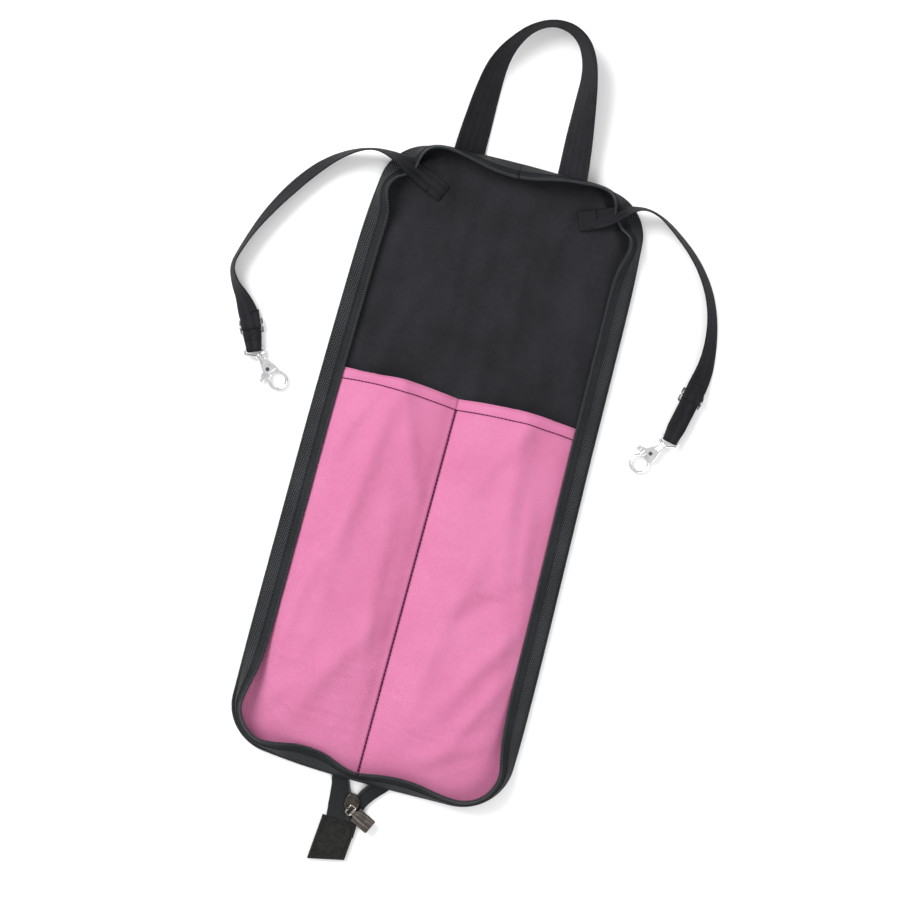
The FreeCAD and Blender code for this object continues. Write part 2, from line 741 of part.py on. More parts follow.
def hook_lever():
    """The sprung gate and its thumb lever, in one piece that turns on the rivet."""
    x, y = RIVET
    half = LEVER_THICKNESS / 2
    hub = Part.makeCylinder(2.1, LEVER_THICKNESS, V(x, y, -half))
    arm_plan = [(-0.9, 1.9), (1.9, -0.9), (5.9, 3.4), (6.3, 5.2), (4.5, 5.6)]
    thumb_plan = [(-1.5, -1.4), (1.6, -1.2), (4.3, -6.0), (5.3, -8.6), (2.7, -9.4), (0.7, -6.8)]
    arm = prism([(x + dx, y + dy) for dx, dy in arm_plan], -half, half)
    thumb = prism([(x + dx, y + dy) for dx, dy in thumb_plan], -half, half)
    pad = Part.makeCylinder(1.9, 2.4, V(x + 3.8, y - 8.6, -1.2))
    pad = pad.makeFillet(0.5, [e for e in pad.Edges if e.BoundBox.ZLength < 0.01])
    reach = Part.makeCylinder(GATE_REACH, 10, V(x, y, -5))
    gate = eye_ring(GATE_WIRE, 95, 150).common(reach)
    hole = Part.makeCylinder(RIVET_RADIUS + LEVER_CLEAR, 10, V(x, y, -5))
    return hub.fuse([arm, thumb, pad, gate]).cut(hole).removeSplitter()


def hook_rivet():
    """The lever's rivet, with a low head on each cheek."""
    shank = Part.makeCylinder(RIVET_RADIUS, 2 * CHEEK_HALF, V(*RIVET, -CHEEK_HALF))
    heads = [
        Part.makeCylinder(1.5, 0.35, V(*RIVET, CHEEK_HALF)),
        Part.makeCylinder(1.5, 0.35, V(*RIVET, -CHEEK_HALF - 0.35)),
    ]
    return shank.fuse(heads)


def straps():
    made = {}
    for side in STRAPS:
        hook = {
            "hook_base": hook_base(side),
            "hook_body": hook_body(),
            "hook_lever": hook_lever(),
            "hook_rivet": hook_rivet(),
        }
        made[f"strap_{side}"] = strap_tube(side)
        made[f"strap_anchor_{side}"] = strap_anchor(side)
        made[f"strap_keeper_{side}"] = strap_keeper(side)
        made[f"tri_glide_{side}"] = tri_glide(side)
        for name, shape in hook.items():
            made[f"{name}_{side}"] = shape.transformed(hook_placement(side).toMatrix(), copy=True)
    return made


# ---------------------------------------------------------------- the whole bag


def build():
    nodes = {}
    nodes.update(panels())
    nodes.update(zipper_halves())
    nodes.update(pockets())
    nodes.update(handle())
    nodes.update(straps())
    nodes["zipper_tail_left"] = tail_tape(-1)
    nodes["zipper_tail_right"] = tail_tape(1)
    nodes["zipper_tail_coil"] = tail_coil()
    nodes["slider_body"] = slider()
    nodes["pull_ring"] = pull_ring()
    nodes["pull_tab"] = pull_tab()
    nodes["leather_tab"] = leather_tab()
    nodes["tab_stitching"] = tab_stitching()
    return nodes


os.makedirs("parts", exist_ok=True)
NODES = build()
for name, shape in NODES.items():
    if not shape.isValid() or shape.Volume <= 0:
        print(f"{name}: not a valid solid")
    shape.exportStep(f"parts/{name}.step")
print(f"{len(NODES)} nodes")
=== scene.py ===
import math

import bpy
import numpy as np
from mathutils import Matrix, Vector


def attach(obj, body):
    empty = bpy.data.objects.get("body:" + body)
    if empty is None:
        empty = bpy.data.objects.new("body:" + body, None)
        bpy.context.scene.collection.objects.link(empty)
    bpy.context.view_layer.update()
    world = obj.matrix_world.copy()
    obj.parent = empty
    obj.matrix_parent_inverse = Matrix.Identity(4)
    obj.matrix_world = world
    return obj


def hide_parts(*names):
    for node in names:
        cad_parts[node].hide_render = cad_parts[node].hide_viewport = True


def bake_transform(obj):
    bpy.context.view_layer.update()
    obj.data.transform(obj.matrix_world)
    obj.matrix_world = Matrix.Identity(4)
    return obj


# Builds the looks of a padded drum stick bag that lies open like a book. Lengths inside the script
# are in millimetres and become metres where a mesh is made. +Y runs to the carry handle.

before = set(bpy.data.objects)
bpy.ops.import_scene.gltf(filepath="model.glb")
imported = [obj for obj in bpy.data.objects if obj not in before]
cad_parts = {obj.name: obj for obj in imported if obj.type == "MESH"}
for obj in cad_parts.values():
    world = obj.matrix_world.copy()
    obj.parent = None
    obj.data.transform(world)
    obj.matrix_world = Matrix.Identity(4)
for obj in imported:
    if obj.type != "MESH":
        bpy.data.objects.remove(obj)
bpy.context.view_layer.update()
scene = bpy.context.scene
MM = 0.001
UP = np.array([0.0, 0.0, 1.0])

# ---- camera

VIEW_WIDTH = 682.0
LENS = 85.0
SENSOR = 36.0
CAMERA_HEIGHT = VIEW_WIDTH * LENS / SENSOR
CAMERA_AT = (3.5, 16.8)
CAMERA_TURN = 15.15
VIEW_Z = 5.0    # the height above the floor at which the view is VIEW_WIDTH wide


def make_camera():
    """Looks straight down, turned so that the bag lies askew in the picture."""
    data = bpy.data.cameras.new("camera")
    data.sensor_width = SENSOR
    data.lens = LENS
    camera = bpy.data.objects.new("camera", data)
    scene.collection.objects.link(camera)
    x, y = CAMERA_AT
    camera.location = (x * MM, y * MM, (CAMERA_HEIGHT + VIEW_Z) * MM)
    camera.rotation_euler = (0, 0, math.radians(CAMERA_TURN))
    scene.camera = camera


make_camera()

# ---- mesh helpers


def unit(v):
    """Vectors of the same directions and of length 1."""
    return v / np.maximum(np.linalg.norm(v, axis=-1, keepdims=True), 1e-9)


def tangents(line):
    """A line's direction at each of its points."""
    return unit(np.gradient(line, axis=0))


def lengths(line):
    """The length along a line up to each of its points."""
    return np.concatenate([[0], np.cumsum(np.linalg.norm(np.diff(line, axis=0), axis=1))])


def shares(line):
    """How far along a line each point is, from 0 to 1."""
    s = lengths(line)
    return s / s[-1]


def read_line(at, stations, line):
    """A line's points at other stations than its own."""
    return np.stack([np.interp(at, stations, line[:, i]) for i in range(line.shape[1])], 1)


def resampled(line, step):
    """The same line with its points evenly spaced."""
    s = lengths(line)
    return read_line(np.linspace(0, s[-1], max(3, int(round(s[-1] / step)) + 1)), s, line)


def eased(at, stations, values, spread):
    """Values read between stations, with the corners of the graph smoothed."""
    step = spread / 6
    grid = np.arange(stations[0] - 4 * spread, stations[-1] + 4 * spread, step)
    raw = np.interp(grid, stations, values)
    kernel = np.exp(-0.5 * (np.arange(-18, 19) / 6) ** 2)
    soft = np.convolve(np.pad(raw, 18, mode="edge"), kernel / kernel.sum(), mode="valid")
    return np.interp(at, grid, soft)


def smooth(value):
    """From 0 to 1 with a soft start and end."""
    value = np.clip(value, 0, 1)
    return value * value * (3 - 2 * value)


def spline_line(points):
    """The smooth line of a NURBS spline that has these control points."""
    curve = bpy.data.curves.new("line", "CURVE")
    curve.dimensions = "3D"
    curve.resolution_u = 16
    spline = curve.splines.new("NURBS")
    spline.points.add(len(points) - 1)
    for point, at in zip(spline.points, points):
        point.co = (at[0] * MM, at[1] * MM, at[2] * MM, 1)
    spline.order_u = 3
    spline.use_endpoint_u = True
    holder = bpy.data.objects.new("line", curve)
    scene.collection.objects.link(holder)
    mesh = bpy.data.meshes.new_from_object(holder)
    line = np.array([v.co for v in mesh.vertices], float) / MM
    bpy.data.objects.remove(holder)
    bpy.data.meshes.remove(mesh)
    return line


def new_piece(name, verts, faces, material, uvs=None):
    """A mesh object from points in millimetres. uvs are per face corner, in metres of cloth."""
    mesh = bpy.data.meshes.new(name)
    mesh.from_pydata((np.asarray(verts) * MM).tolist(), [], [list(map(int, f)) for f in faces])
    mesh.polygons.foreach_set("use_smooth", [True] * len(mesh.polygons))
    if uvs is not None:
        layer = mesh.uv_layers.new(name="cloth")
        layer.data.foreach_set("uv", np.asarray(uvs, np.float32).ravel())
    mesh.materials.append(material)
    mesh.update()
    piece = bpy.data.objects.new(name, mesh)
    scene.collection.objects.link(piece)
    return piece


def cells(grid):
    """The four corners of each cell of a grid, of point numbers or of uvs."""
    return np.stack([grid[:-1, :-1], grid[:-1, 1:], grid[1:, 1:], grid[1:, :-1]], 2)


def grid_piece(name, grid, material, closed=False, flip=False):
    """A sheet, or a tube with closed ends, from rows of points. Its uvs are lengths of cloth."""
    rows, cols = grid.shape[:2]
    index = np.arange(rows * cols).reshape(rows, cols)
    ring = np.concatenate([index, index[:, :1]], 1) if closed else index
    corners = cells(ring)
    middle = grid[rows // 2]
    loop = np.concatenate([middle, middle[:1]]) if closed else middle
    uvs = cells(np.dstack(np.meshgrid(lengths(loop) * MM, lengths(grid.mean(axis=1)) * MM)))
    if flip:
        corners = corners[..., ::-1]
        uvs = uvs[:, :, ::-1]
    faces = corners.reshape(-1, 4).tolist()
    uvs = uvs.reshape(-1, 2).tolist()
    if closed:
        ends = [index[0].tolist(), index[-1][::-1].tolist()]
        if not flip:
            ends = [e[::-1] for e in ends]
        for end in ends:
            faces.append(end)
            uvs += [[0, 0]] * cols
    piece = new_piece(name, grid.reshape(-1, 3), faces, material, uvs)
    if closed:
        for polygon in piece.data.polygons[-2:]:
            polygon.use_smooth = False
    return piece


def slab(upper, lower):
    """Points and faces of a closed slab between two grids of the same size."""
    rows, cols = upper.shape[:2]
    count = rows * cols
    index = np.arange(count).reshape(rows, cols)
    quads = cells(index).reshape(-1, 4)
    border = np.concatenate([index[0, :], index[1:, -1], index[-1, -2::-1], index[-2:0:-1, 0]])
    following = np.roll(border, -1)
    walls = np.stack([border, following, following + count, border + count], -1)
    points = np.concatenate([upper, lower]).reshape(-1, 3)
    return points, np.concatenate([quads[:, ::-1], quads + count, walls])


def rounded(distance, radius):
    """How far a rounded edge lies below its flat, as a share of its radius, by distance inwards."""
    out = 1 - np.clip(distance / radius, 0, 1)
    return 1 - np.sqrt(np.clip(1 - out**2, 0, 1))


def level_frame(line, roll=0.0):
    """Side and top directions along a line, rolled about it by degrees."""
    tangent = tangents(line)
    flat = unit(np.cross(UP, tangent))
    top = np.cross(tangent, flat)
    angle = np.radians(np.broadcast_to(roll, len(line)))[:, None]
    side = np.cos(angle) * flat + np.sin(angle) * top
    return side, np.cos(angle) * top - np.sin(angle) * flat


def swept(line, side, top, section):
    """Rows of points: a section of (across, up) pairs placed all along a line."""
    section = np.broadcast_to(section, (len(line),) + np.shape(section)[-2:])
    across, high = section[..., :1], section[..., 1:]
    return line[:, None] + side[:, None] * across + top[:, None] * high


def webbing_section(width, thickness, ribs=5):
    """The cut end of a woven band, with rounded selvedges and low lengthwise ribs."""
    u = np.sin(np.linspace(-math.pi / 2, math.pi / 2, 6 * ribs + 1))
    width = np.atleast_1d(width)[:, None]
    half = thickness / 2 * (1 - 0.6 * np.abs(u) ** 9 + 0.05 * np.cos(u * ribs * 2 * math.pi))
    upper = np.stack([u * width / 2, np.broadcast_to(half, (len(width), len(u)))], -1)
    lower = np.stack([-u * width / 2, -np.broadcast_to(half[::-1], (len(width), len(u)))], -1)
    return np.concatenate([upper, lower], 1)


def circle_section(radius, sides):
    """The cut end of a round wire or roll."""
    a = np.linspace(0, 2 * math.pi, sides, endpoint=False)
    return np.stack([radius * np.cos(a), radius * np.sin(a)], 1)


def band(name, line, side, top, width, thickness, material, ribs=5):
    """A woven band along a line."""
    section = webbing_section(width, thickness, ribs)
    return grid_piece(name, swept(line, side, top, section), material, closed=True, flip=True)


def stitch_rows(name, rows, material, body, *nodes, length, gap, radius, lift=0.15):
    """Thread stitches along one or more rows, each a (line, top) pair; each dips at its ends."""
    t = np.linspace(0, 1, 7)
    sides = 6
    size = np.sin(math.pi * np.clip(t, 0.04, 0.96)) ** 0.35
    ring = np.linspace(0, 2 * math.pi, sides, endpoint=False)
    verts, faces = [], []
    for line, top in rows:
        line = np.asarray(line, float)
        top = np.broadcast_to(np.asarray(top, float), line.shape)
        s = lengths(line)
        count = max(1, int((s[-1] + gap) / (length + gap)))
        pitch = (s[-1] + gap) / count
        for k in range(count):
            at = k * pitch + t * (pitch - gap)
            centre = read_line(at, s, line)
            up = unit(read_line(at, s, top))
            side = unit(np.cross(tangents(centre), up))
            centre = centre + up * (lift * np.sin(math.pi * t) + radius * 0.3)[:, None]
            r = (radius * size)[:, None, None]
            rings = centre[:, None] + r * (
                side[:, None] * np.cos(ring)[None, :, None]
                + up[:, None] * np.sin(ring)[None, :, None]
            )
            base = len(verts)
            verts += rings.reshape(-1, 3).tolist()
            for start in range(base, base + (len(t) - 1) * sides, sides):
                for j in range(sides):
                    a, b = start + j, start + (j + 1) % sides
                    faces.append([a, a + sides, b + sides, b])
            faces.append([base + j for j in range(sides)])
            faces.append([base + len(t) * sides - 1 - j for j in range(sides)])
    stand_in(new_piece(name, verts, faces, material), body, "thread", *nodes)


def ridges(x, y, marks):
    """Soft folds in cloth, each (x, y, heading in degrees, length, width, height)."""
    total = np.zeros(np.broadcast(x, y).shape)
    for x0, y0, heading, length, width, height in marks:
        c, s = math.cos(math.radians(heading)), math.sin(math.radians(heading))
        along = (x - x0) * c + (y - y0) * s
        across = -(x - x0) * s + (y - y0) * c
        across = across + 0.06 * along * np.sin(along / (0.5 * length))
        total = total + height * np.exp(-((across / width) ** 2) - (along / length) ** 2)
    return total


# ---- materials


class Tree:
    """Short ways to write a material's nodes."""

    def __init__(self, name, colour, rough, metallic=0.0, **sockets):
        self.material = bpy.data.materials.new(name)
        self.material.use_nodes = True
        self.tree = self.material.node_tree
        self.shader = self.tree.nodes["Principled BSDF"]
        self.material.diffuse_color = (*colour, 1)
        self.shader.inputs["Base Color"].default_value = (*colour, 1)
        self.shader.inputs["Roughness"].default_value = rough
        self.shader.inputs["Metallic"].default_value = metallic
        for key, value in sockets.items():
            self.shader.inputs[key.replace("_", " ")].default_value = value

    def node(self, kind, inputs=None, **settings):
        """A new node with its inputs plugged and its settings made."""
        made = self.tree.nodes.new(kind)
        for key, value in settings.items():
            setattr(made, key, value)
        for key, value in (inputs or {}).items():
            self.plug(made.inputs[key], value)
        return made

    def plug(self, socket, value):
        """Links another node's output, or sets a constant."""
        if isinstance(value, bpy.types.NodeSocket):
            self.tree.links.new(value, socket)
        else:
            socket.default_value = value

    def maths(self, operation, a, b=0.0, c=0.0):
        """The result of a sum on two or three values."""
        made = self.node("ShaderNodeMath", operation=operation)
        for socket, value in zip(made.inputs, (a, b, c)):
            self.plug(socket, value)
        return made.outputs[0]

    def coords(self, source):
        """The place to read a pattern at, with its x and y: along the cloth, or on the object."""
        if source == "UV":
            place = self.node("ShaderNodeUVMap", uv_map="cloth").outputs["UV"]
        else:
            place = self.node("ShaderNodeTexCoord").outputs["Object"]
        split = self.node("ShaderNodeSeparateXYZ", {"Vector": place})
        return place, split.outputs["X"], split.outputs["Y"]

    def wave(self, value, period):
        """A sine from 0 to 1 of the given period in millimetres."""
        turned = self.maths("MULTIPLY", value, 2 * math.pi / (period * MM))
        return self.maths("MULTIPLY_ADD", self.maths("SINE", turned), 0.5, 0.5)

    def noise(self, place, scale, detail=3.0):
        """Soft noise from 0 to 1, finer with a larger scale."""
        settings = {"Vector": place, "Scale": scale, "Detail": detail, "Roughness": 0.55}
        return self.node("ShaderNodeTexNoise", settings).outputs["Fac"]

    def mix(self, factor, a, b):
        """Colour a where the factor is 0 and colour b where it is 1."""
        made = self.node("ShaderNodeMix", data_type="RGBA")
        self.plug(made.inputs[0], factor)
        self.plug(made.inputs[6], (*a, 1) if isinstance(a, tuple) else a)
        self.plug(made.inputs[7], (*b, 1) if isinstance(b, tuple) else b)
        return made.outputs[2]

    def spread(self, value, low, high, to_low=0.0, to_high=1.0):
        """The range from low to high, spread over another range and clamped to it."""
        made = self.node("ShaderNodeMapRange", {"Value": value, "From Min": low, "From Max": high})
        self.plug(made.inputs["To Min"], to_low)
        self.plug(made.inputs["To Max"], to_high)
        return made.outputs["Result"]

    def bump(self, height, depth, strength=1.0):
        """Relief of the given depth in millimetres."""
        settings = {"Height": height, "Distance": depth * MM, "Strength": strength}
        self.plug(self.shader.inputs["Normal"], self.node("ShaderNodeBump", settings).outputs["Normal"])

    def colour(self, value):
        self.plug(self.shader.inputs["Base Color"], value)

    def roughness(self, value):
        self.plug(self.shader.inputs["Roughness"], value)


def weave(tree, pattern, u, v, period):
    """The height of the threads of a cloth, from 0 to 1."""
    if pattern == "twill":
        diagonal = tree.wave(tree.maths("ADD", u, v), period * 1.414)
        thread = tree.wave(tree.maths("SUBTRACT", u, v), period * 0.9)
        return tree.maths("MULTIPLY_ADD", thread, 0.3, tree.maths("MULTIPLY", diagonal, 0.7))
    if pattern == "plain":
        over = tree.maths("MULTIPLY", tree.wave(u, period), tree.wave(v, period))
        shifted_u = tree.maths("ADD", u, period * MM / 2)
        shifted_v = tree.maths("ADD", v, period * MM / 2)
        under = tree.maths("MULTIPLY", tree.wave(shifted_u, period), tree.wave(shifted_v, period))
        return tree.maths("MAXIMUM", over, under)
    if pattern == "herring":
        zigzag = tree.maths("PINGPONG", u, period * 2.2 * MM)
        slant = tree.wave(tree.maths("ADD", zigzag, v), period)
        rib = tree.wave(u, period * 4.4)
        return tree.maths("MULTIPLY_ADD", rib, 0.25, tree.maths("MULTIPLY", slant, 0.75))
    if pattern == "slant":
        bend = tree.maths("PINGPONG", u, 4.2 * MM)
        slant = tree.wave(tree.maths("MULTIPLY_ADD", bend, 1.5, v), period)
        float_end = tree.wave(tree.maths("MULTIPLY_ADD", v, 0.35, u), period * 0.7)
        return tree.maths("MULTIPLY", slant, tree.maths("MULTIPLY_ADD", float_end, 0.3, 0.7))
    rib = tree.wave(u, period)
    pick = tree.wave(v, period * 0.55)
    return tree.maths("MULTIPLY_ADD", pick, 0.4, tree.maths("MULTIPLY", rib, 0.6))


def cloth(
    name, light, dark, pattern, period, rough, depth,
    source="UV", sheen=0.0, broad=0.35, fuzzy=0.45, span=(0.18, 0.82),
):
    """A woven cloth: threads in relief, with painted highlight on their tops and painted shade between
    them, and slow changes of tone.
    """
    tree = Tree(name, light, rough, Sheen_Weight=sheen, Sheen_Roughness=0.45, Specular_IOR_Level=0.12)
    place, u, v = tree.coords(source)
    height = weave(tree, pattern, u, v, period)
    fuzz = tree.noise(place, 2600.0, 2.0)
    tone = tree.noise(place, 22.0, 4.0)
    streak = tree.noise(place, 260.0)
    # The colour follows the threads' height: painted highlight on the raised threads and painted shade
    # in the hollows between them, mixed with random fibre tone.
    shade = tree.maths("MULTIPLY_ADD", height, 1 - fuzzy, tree.maths("MULTIPLY", fuzz, fuzzy))
    slow = tree.spread(tone, 0.3, 0.7, -broad / 2, broad / 2)
    shade = tree.maths("ADD", shade, slow)
    shade = tree.maths("MULTIPLY_ADD", tree.maths("SUBTRACT", streak, 0.5), broad * 0.8, shade)
    tree.colour(tree.mix(tree.spread(shade, *span), dark, light))
    tree.roughness(tree.spread(fuzz, 0.2, 0.8, rough - 0.08, rough + 0.06))
    tree.bump(tree.maths("MULTIPLY_ADD", fuzz, 0.35, height), depth)
    return tree.material


# How the pull tab's brushed grain runs: its heading in degrees, and its size along and across in metres
GRAIN_HEADING = -22
GRAIN_SIZE = (0.02, 0.0006, 0.02)


def metal(name, light, dark, rough, brushed=False):
    """Polished metal with faint smudges in its roughness, faint scratches in relief and patches of
    painted reflection in its colour, or metal brushed one way with painted reflection in streaks along
    its grain.
    """
    tree = Tree(name, light, rough, metallic=1.0)
    place, _, _ = tree.coords("Object")
    smudge_and_painted_reflection = tree.noise(place, 180.0, 4.0)
    tree.roughness(tree.spread(smudge_and_painted_reflection, 0.3, 0.7, rough * 0.7, rough * 1.6))
    if brushed:
        turn = (0, 0, math.radians(GRAIN_HEADING))
        settings = {"Vector": place, "Rotation": turn, "Scale": GRAIN_SIZE}
        turned = tree.node("ShaderNodeMapping", settings, vector_type="TEXTURE")
        grain = tree.noise(turned.outputs["Vector"], 1.0)
        # Painted reflection: the colour goes lighter and darker in streaks along the grain.
        tree.colour(tree.mix(tree.spread(grain, 0.35, 0.65), dark, light))
        tree.bump(grain, 0.08)
    else:
        # Painted reflection: the colour goes lighter and darker in patches, following the same noise as
        # the smudged roughness.
        tree.colour(tree.mix(tree.spread(smudge_and_painted_reflection, 0.35, 0.75), light, dark))
        tree.bump(tree.noise(place, 900.0, 2.0), 0.02, 0.25)
    return tree.material


def leather(name, light, dark):
    """Pebbled leather with fine pores, painted shade in the creases between its pebbles, and lighter in
    patches of wear.
    """
    tree = Tree(name, light, 0.5, Specular_IOR_Level=0.25)
    place, _, _ = tree.coords("Object")
    settings = {"Vector": place, "Scale": 950.0}
    grain = tree.node("ShaderNodeTexVoronoi", settings, feature="DISTANCE_TO_EDGE")
    pebble = tree.spread(grain.outputs["Distance"], 0.0, 0.16)
    pores = tree.noise(place, 1500.0)
    tone = tree.noise(place, 330.0)
    height = tree.maths("MULTIPLY_ADD", pores, 0.35, tree.maths("MULTIPLY", pebble, 0.65))
    # Darker where the grain lies low, which is painted shade in the creases and pores; the slow tone
    # gives the lighter patches of wear.
    wear_and_crease_shade = tree.maths("MULTIPLY_ADD", tone, 0.6, tree.maths("MULTIPLY", height, 0.4))
    tree.colour(tree.mix(tree.spread(wear_and_crease_shade, 0.36, 0.66), dark, light))
    tree.roughness(tree.spread(pores, 0.3, 0.7, 0.42, 0.66))
    tree.bump(height, 0.45)
    return tree.material


def thread(name, light, dark):
    """Twisted sewing thread, with painted shade in the grooves between its plies."""
    tree = Tree(name, light, 0.6, Specular_IOR_Level=0.15)
    place, x, y = tree.coords("Object")
    ply = tree.wave(tree.maths("ADD", x, y), 0.45)
    # Darker where the plies dip: painted shade, with random tone.
    tree.colour(tree.mix(tree.maths("MULTIPLY_ADD", ply, 0.5, tree.noise(place, 900.0)), dark, light))
    tree.bump(ply, 0.08)
    return tree.material


def plastic(name, light, dark):
    """Dull plastic, as a zipper's coil is made of."""
    tree = Tree(name, light, 0.36, Specular_IOR_Level=0.35)
    place, _, _ = tree.coords("Object")
    tone = tree.noise(place, 300.0)
    tree.colour(tree.mix(tone, dark, light))
    tree.roughness(tree.spread(tone, 0.3, 0.7, 0.28, 0.46))
    tree.bump(tree.noise(place, 2400.0), 0.03)
    return tree.material


def floor_material():
    """A plain pale floor with a faint change of tone."""
    tree = Tree("floor", (0.93, 0.93, 0.93), 0.9)
    place, _, _ = tree.coords("Object")
    tree.colour(tree.mix(tree.noise(place, 3.0), (0.925, 0.925, 0.925), (0.94, 0.94, 0.94)))
    return tree.material


# Each cloth's lighter colour is the painted highlight on its threads and its darker colour is the
# painted shade between them, with random tone mixed in.
PINK = cloth(
    "pink_canvas", (0.600, 0.203, 0.362), (0.470, 0.122, 0.245), "twill", 1.25, 0.8, 0.2, "Object",
    sheen=0.1, broad=0.22,
)
LINING = cloth(
    "lining_fabric", (0.020, 0.020, 0.0245), (0.004, 0.004, 0.0055), "plain", 1.1, 0.5, 0.16, "Object"
)
OUTER = cloth(
    "outer_fabric", (0.034, 0.034, 0.039), (0.006, 0.006, 0.008), "plain", 1.6, 0.58, 0.35, "Object"
)
WEBBING = cloth("webbing", (0.021, 0.020, 0.0245), (0.004, 0.004, 0.0052), "herring", 1.3, 0.6, 0.25)
GUSSET = cloth(
    "gusset_weave", (0.064, 0.067, 0.073), (0.001, 0.001, 0.0014), "slant", 2.3, 0.62, 0.6,
    broad=0.2, fuzzy=0.2, span=(0.2, 0.72),
)
TAPE = cloth("zipper_fabric", (0.023, 0.025, 0.028), (0.004, 0.005, 0.006), "rib", 1.1, 0.55, 0.2)
COIL = plastic("zipper_coil", (0.060, 0.064, 0.068), (0.022, 0.024, 0.026))
THREAD_DARK = thread("thread", (0.016, 0.015, 0.018), (0.005, 0.005, 0.006))
THREAD_WINE = thread("thread_wine", (0.105, 0.005, 0.050), (0.036, 0.002, 0.020))
LEATHER = leather("leather", (0.020, 0.0203, 0.0184), (0.001, 0.001, 0.001))
# Each metal's lighter and darker colour are the two ends of its painted reflection.
CHROME = metal("chrome", (0.88, 0.88, 0.89), (0.62, 0.62, 0.64), 0.08)
NICKEL = metal("nickel", (0.62, 0.58, 0.54), (0.16, 0.145, 0.13), 0.08)
GUNMETAL = metal("gunmetal", (0.115, 0.10, 0.088), (0.015, 0.013, 0.012), 0.1)
BRUSHED = metal("gunmetal_brushed", (0.23, 0.205, 0.185), (0.012, 0.010, 0.009), 0.22, brushed=True)
DARK_STEEL = metal("rivet_steel", (0.10, 0.10, 0.10), (0.05, 0.05, 0.05), 0.3)

# ---- the bag's outline

HALF_LENGTH = 240.0
TOP_HALF = 105.0
BOTTOM_HALF = 109.0
CORNER = 35.0
LINING_Z = 4.2


def half_outline():
    """From the top's middle round one side to the bottom's middle: points and outward normals."""
    top = [(0, HALF_LENGTH), (TOP_HALF, HALF_LENGTH)]
    corners = np.array([*top, (BOTTOM_HALF, -HALF_LENGTH), (0, -HALF_LENGTH)], float)
    line = [corners[0]]
    for before, at, after in zip(corners, corners[1:], corners[2:]):
        back, ahead = unit(before - at), unit(after - at)
        half_turn = (math.pi - math.acos(float(back @ ahead))) / 2
        cut = CORNER * math.tan(half_turn)
        centre = at + unit(back + ahead) * CORNER / math.cos(half_turn)
        start, end = at + back * cut, at + ahead * cut
        a0 = math.atan2(*(start - centre)[::-1])
        a1 = math.atan2(*(end - centre)[::-1])
        for a in np.linspace(a0, a1, 40):
            line.append(centre + CORNER * np.array([math.cos(a), math.sin(a)]))
    line.append(corners[-1])
    points = resampled(np.array(line), 2.0)
    step = tangents(points)
    return points, np.stack([-step[:, 1], step[:, 0]], 1)


EDGE, EDGE_OUT = half_outline()
EDGE_S = lengths(EDGE)
SIDES = {"left": -1, "right": 1}
HALF_BODY = {"left": "left_half", "right": "right_half"}

# How far the sewn edge swells past the outline, by distance round each half from the top's middle
SWELL = {
    "left": (
        [0, 45, 70, 88, 106, 128, 165, 300, 500, 535, 580, 604, 630, 645, 664],
        [0, -1.0, -4.5, -9.0, -8.5, -3.5, -1.0, 0, -1.5, -2.5, -2.8, 2.4, 3.4, 3.6, 3.8],
    ),
    "right": (
        [0, 55, 80, 104, 128, 160, 300, 440, 520, 555, 592, 612, 640, 664],
        [0, -0.5, -3.6, -4.4, -2.0, 0, 1.5, 4.2, 4.8, 2.8, 2.4, 3.4, 3.7, 3.8],
    ),
}


def rim(side, inset=0.0):
    """The visible edge of one half, drawn in by inset: x and y round from the top to the bottom."""
    stations, values = SWELL[side]
    swell = eased(EDGE_S, stations, values, 20.0)
    points = EDGE + EDGE_OUT * (swell - inset)[:, None]
    return points * [SIDES[side], 1]


def half_width(side, inset, y):
    """The distance from the centre seam to the visible edge at each height y."""
    points = rim(side, inset)
    return np.interp(y, points[::-1, 1], np.abs(points[::-1, 0]))


def rows_between(low, high, count, ends=0.35):
    """Heights from high to low, closer together at both ends."""
    t = np.linspace(0, 1, count)
    t = t - ends * np.sin(2 * math.pi * t) / (2 * math.pi)
    return high + (low - high) * t


def edge_distance(side, x, y, inset):
    """The distance in from the edge, near enough for rounding off."""
    wide = half_width(side, inset, y)
    points = rim(side, inset)
    high, low = points[:, 1].max(), points[:, 1].min()
    return np.minimum(np.minimum(wide - np.abs(x), high - y), y - low)


def stand_in(piece, body, slot, *nodes):
    """Parents a piece to its body's empty and hides the CAD nodes that it stands for; a piece whose body
    is left or right, cloth at that side's fold between its half and the spine, is baked in place with no
    parent.

    slot is not used.
    """
    if body == "left":
        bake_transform(piece)
    elif body == "right":
        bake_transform(piece)
    else:
        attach(piece, body)
    if nodes:
        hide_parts(*nodes)


# ---- straps

# Each strap's route from the lining to its doubled end
ROUTES = {
    "left": [
        (-62, 207.5, 6.9), (-72, 212, 8.2), (-83, 216, 11.4), (-96, 220.4, 13.6),
        (-108, 221.6, 11.6), (-119, 218.8, 8.6), (-131, 212.6, 7.4), (-144, 202.4, 6.6),
        (-155.6, 188.6, 6.8), (-166, 173.2, 7.2), (-175.2, 157, 7.4), (-183, 140.2, 7.6),
        (-188.8, 123.6, 7.6), (-192.8, 109, 7.4), (-187, 96.6, 7), (-177, 86.4, 6.2),
        (-170.8, 76.4, 5.2),
    ],
    "right": [
        (63, 213.6, 6.9), (73.4, 218, 8.2), (85, 225.4, 11.8), (97, 230.8, 13.6),
        (108, 229.4, 11.4), (119, 224.4, 8.4), (130.6, 216.8, 7.4), (142.6, 207.2, 7.2),
        (153.6, 195.2, 7.2), (162.8, 181.2, 7), (169.2, 165.6, 6.8), (172.8, 149.2, 6.4),
        (174.2, 133.4, 5.6), (173.8, 121.2, 4.9), (172, 112.2, 4.9),
    ],
}
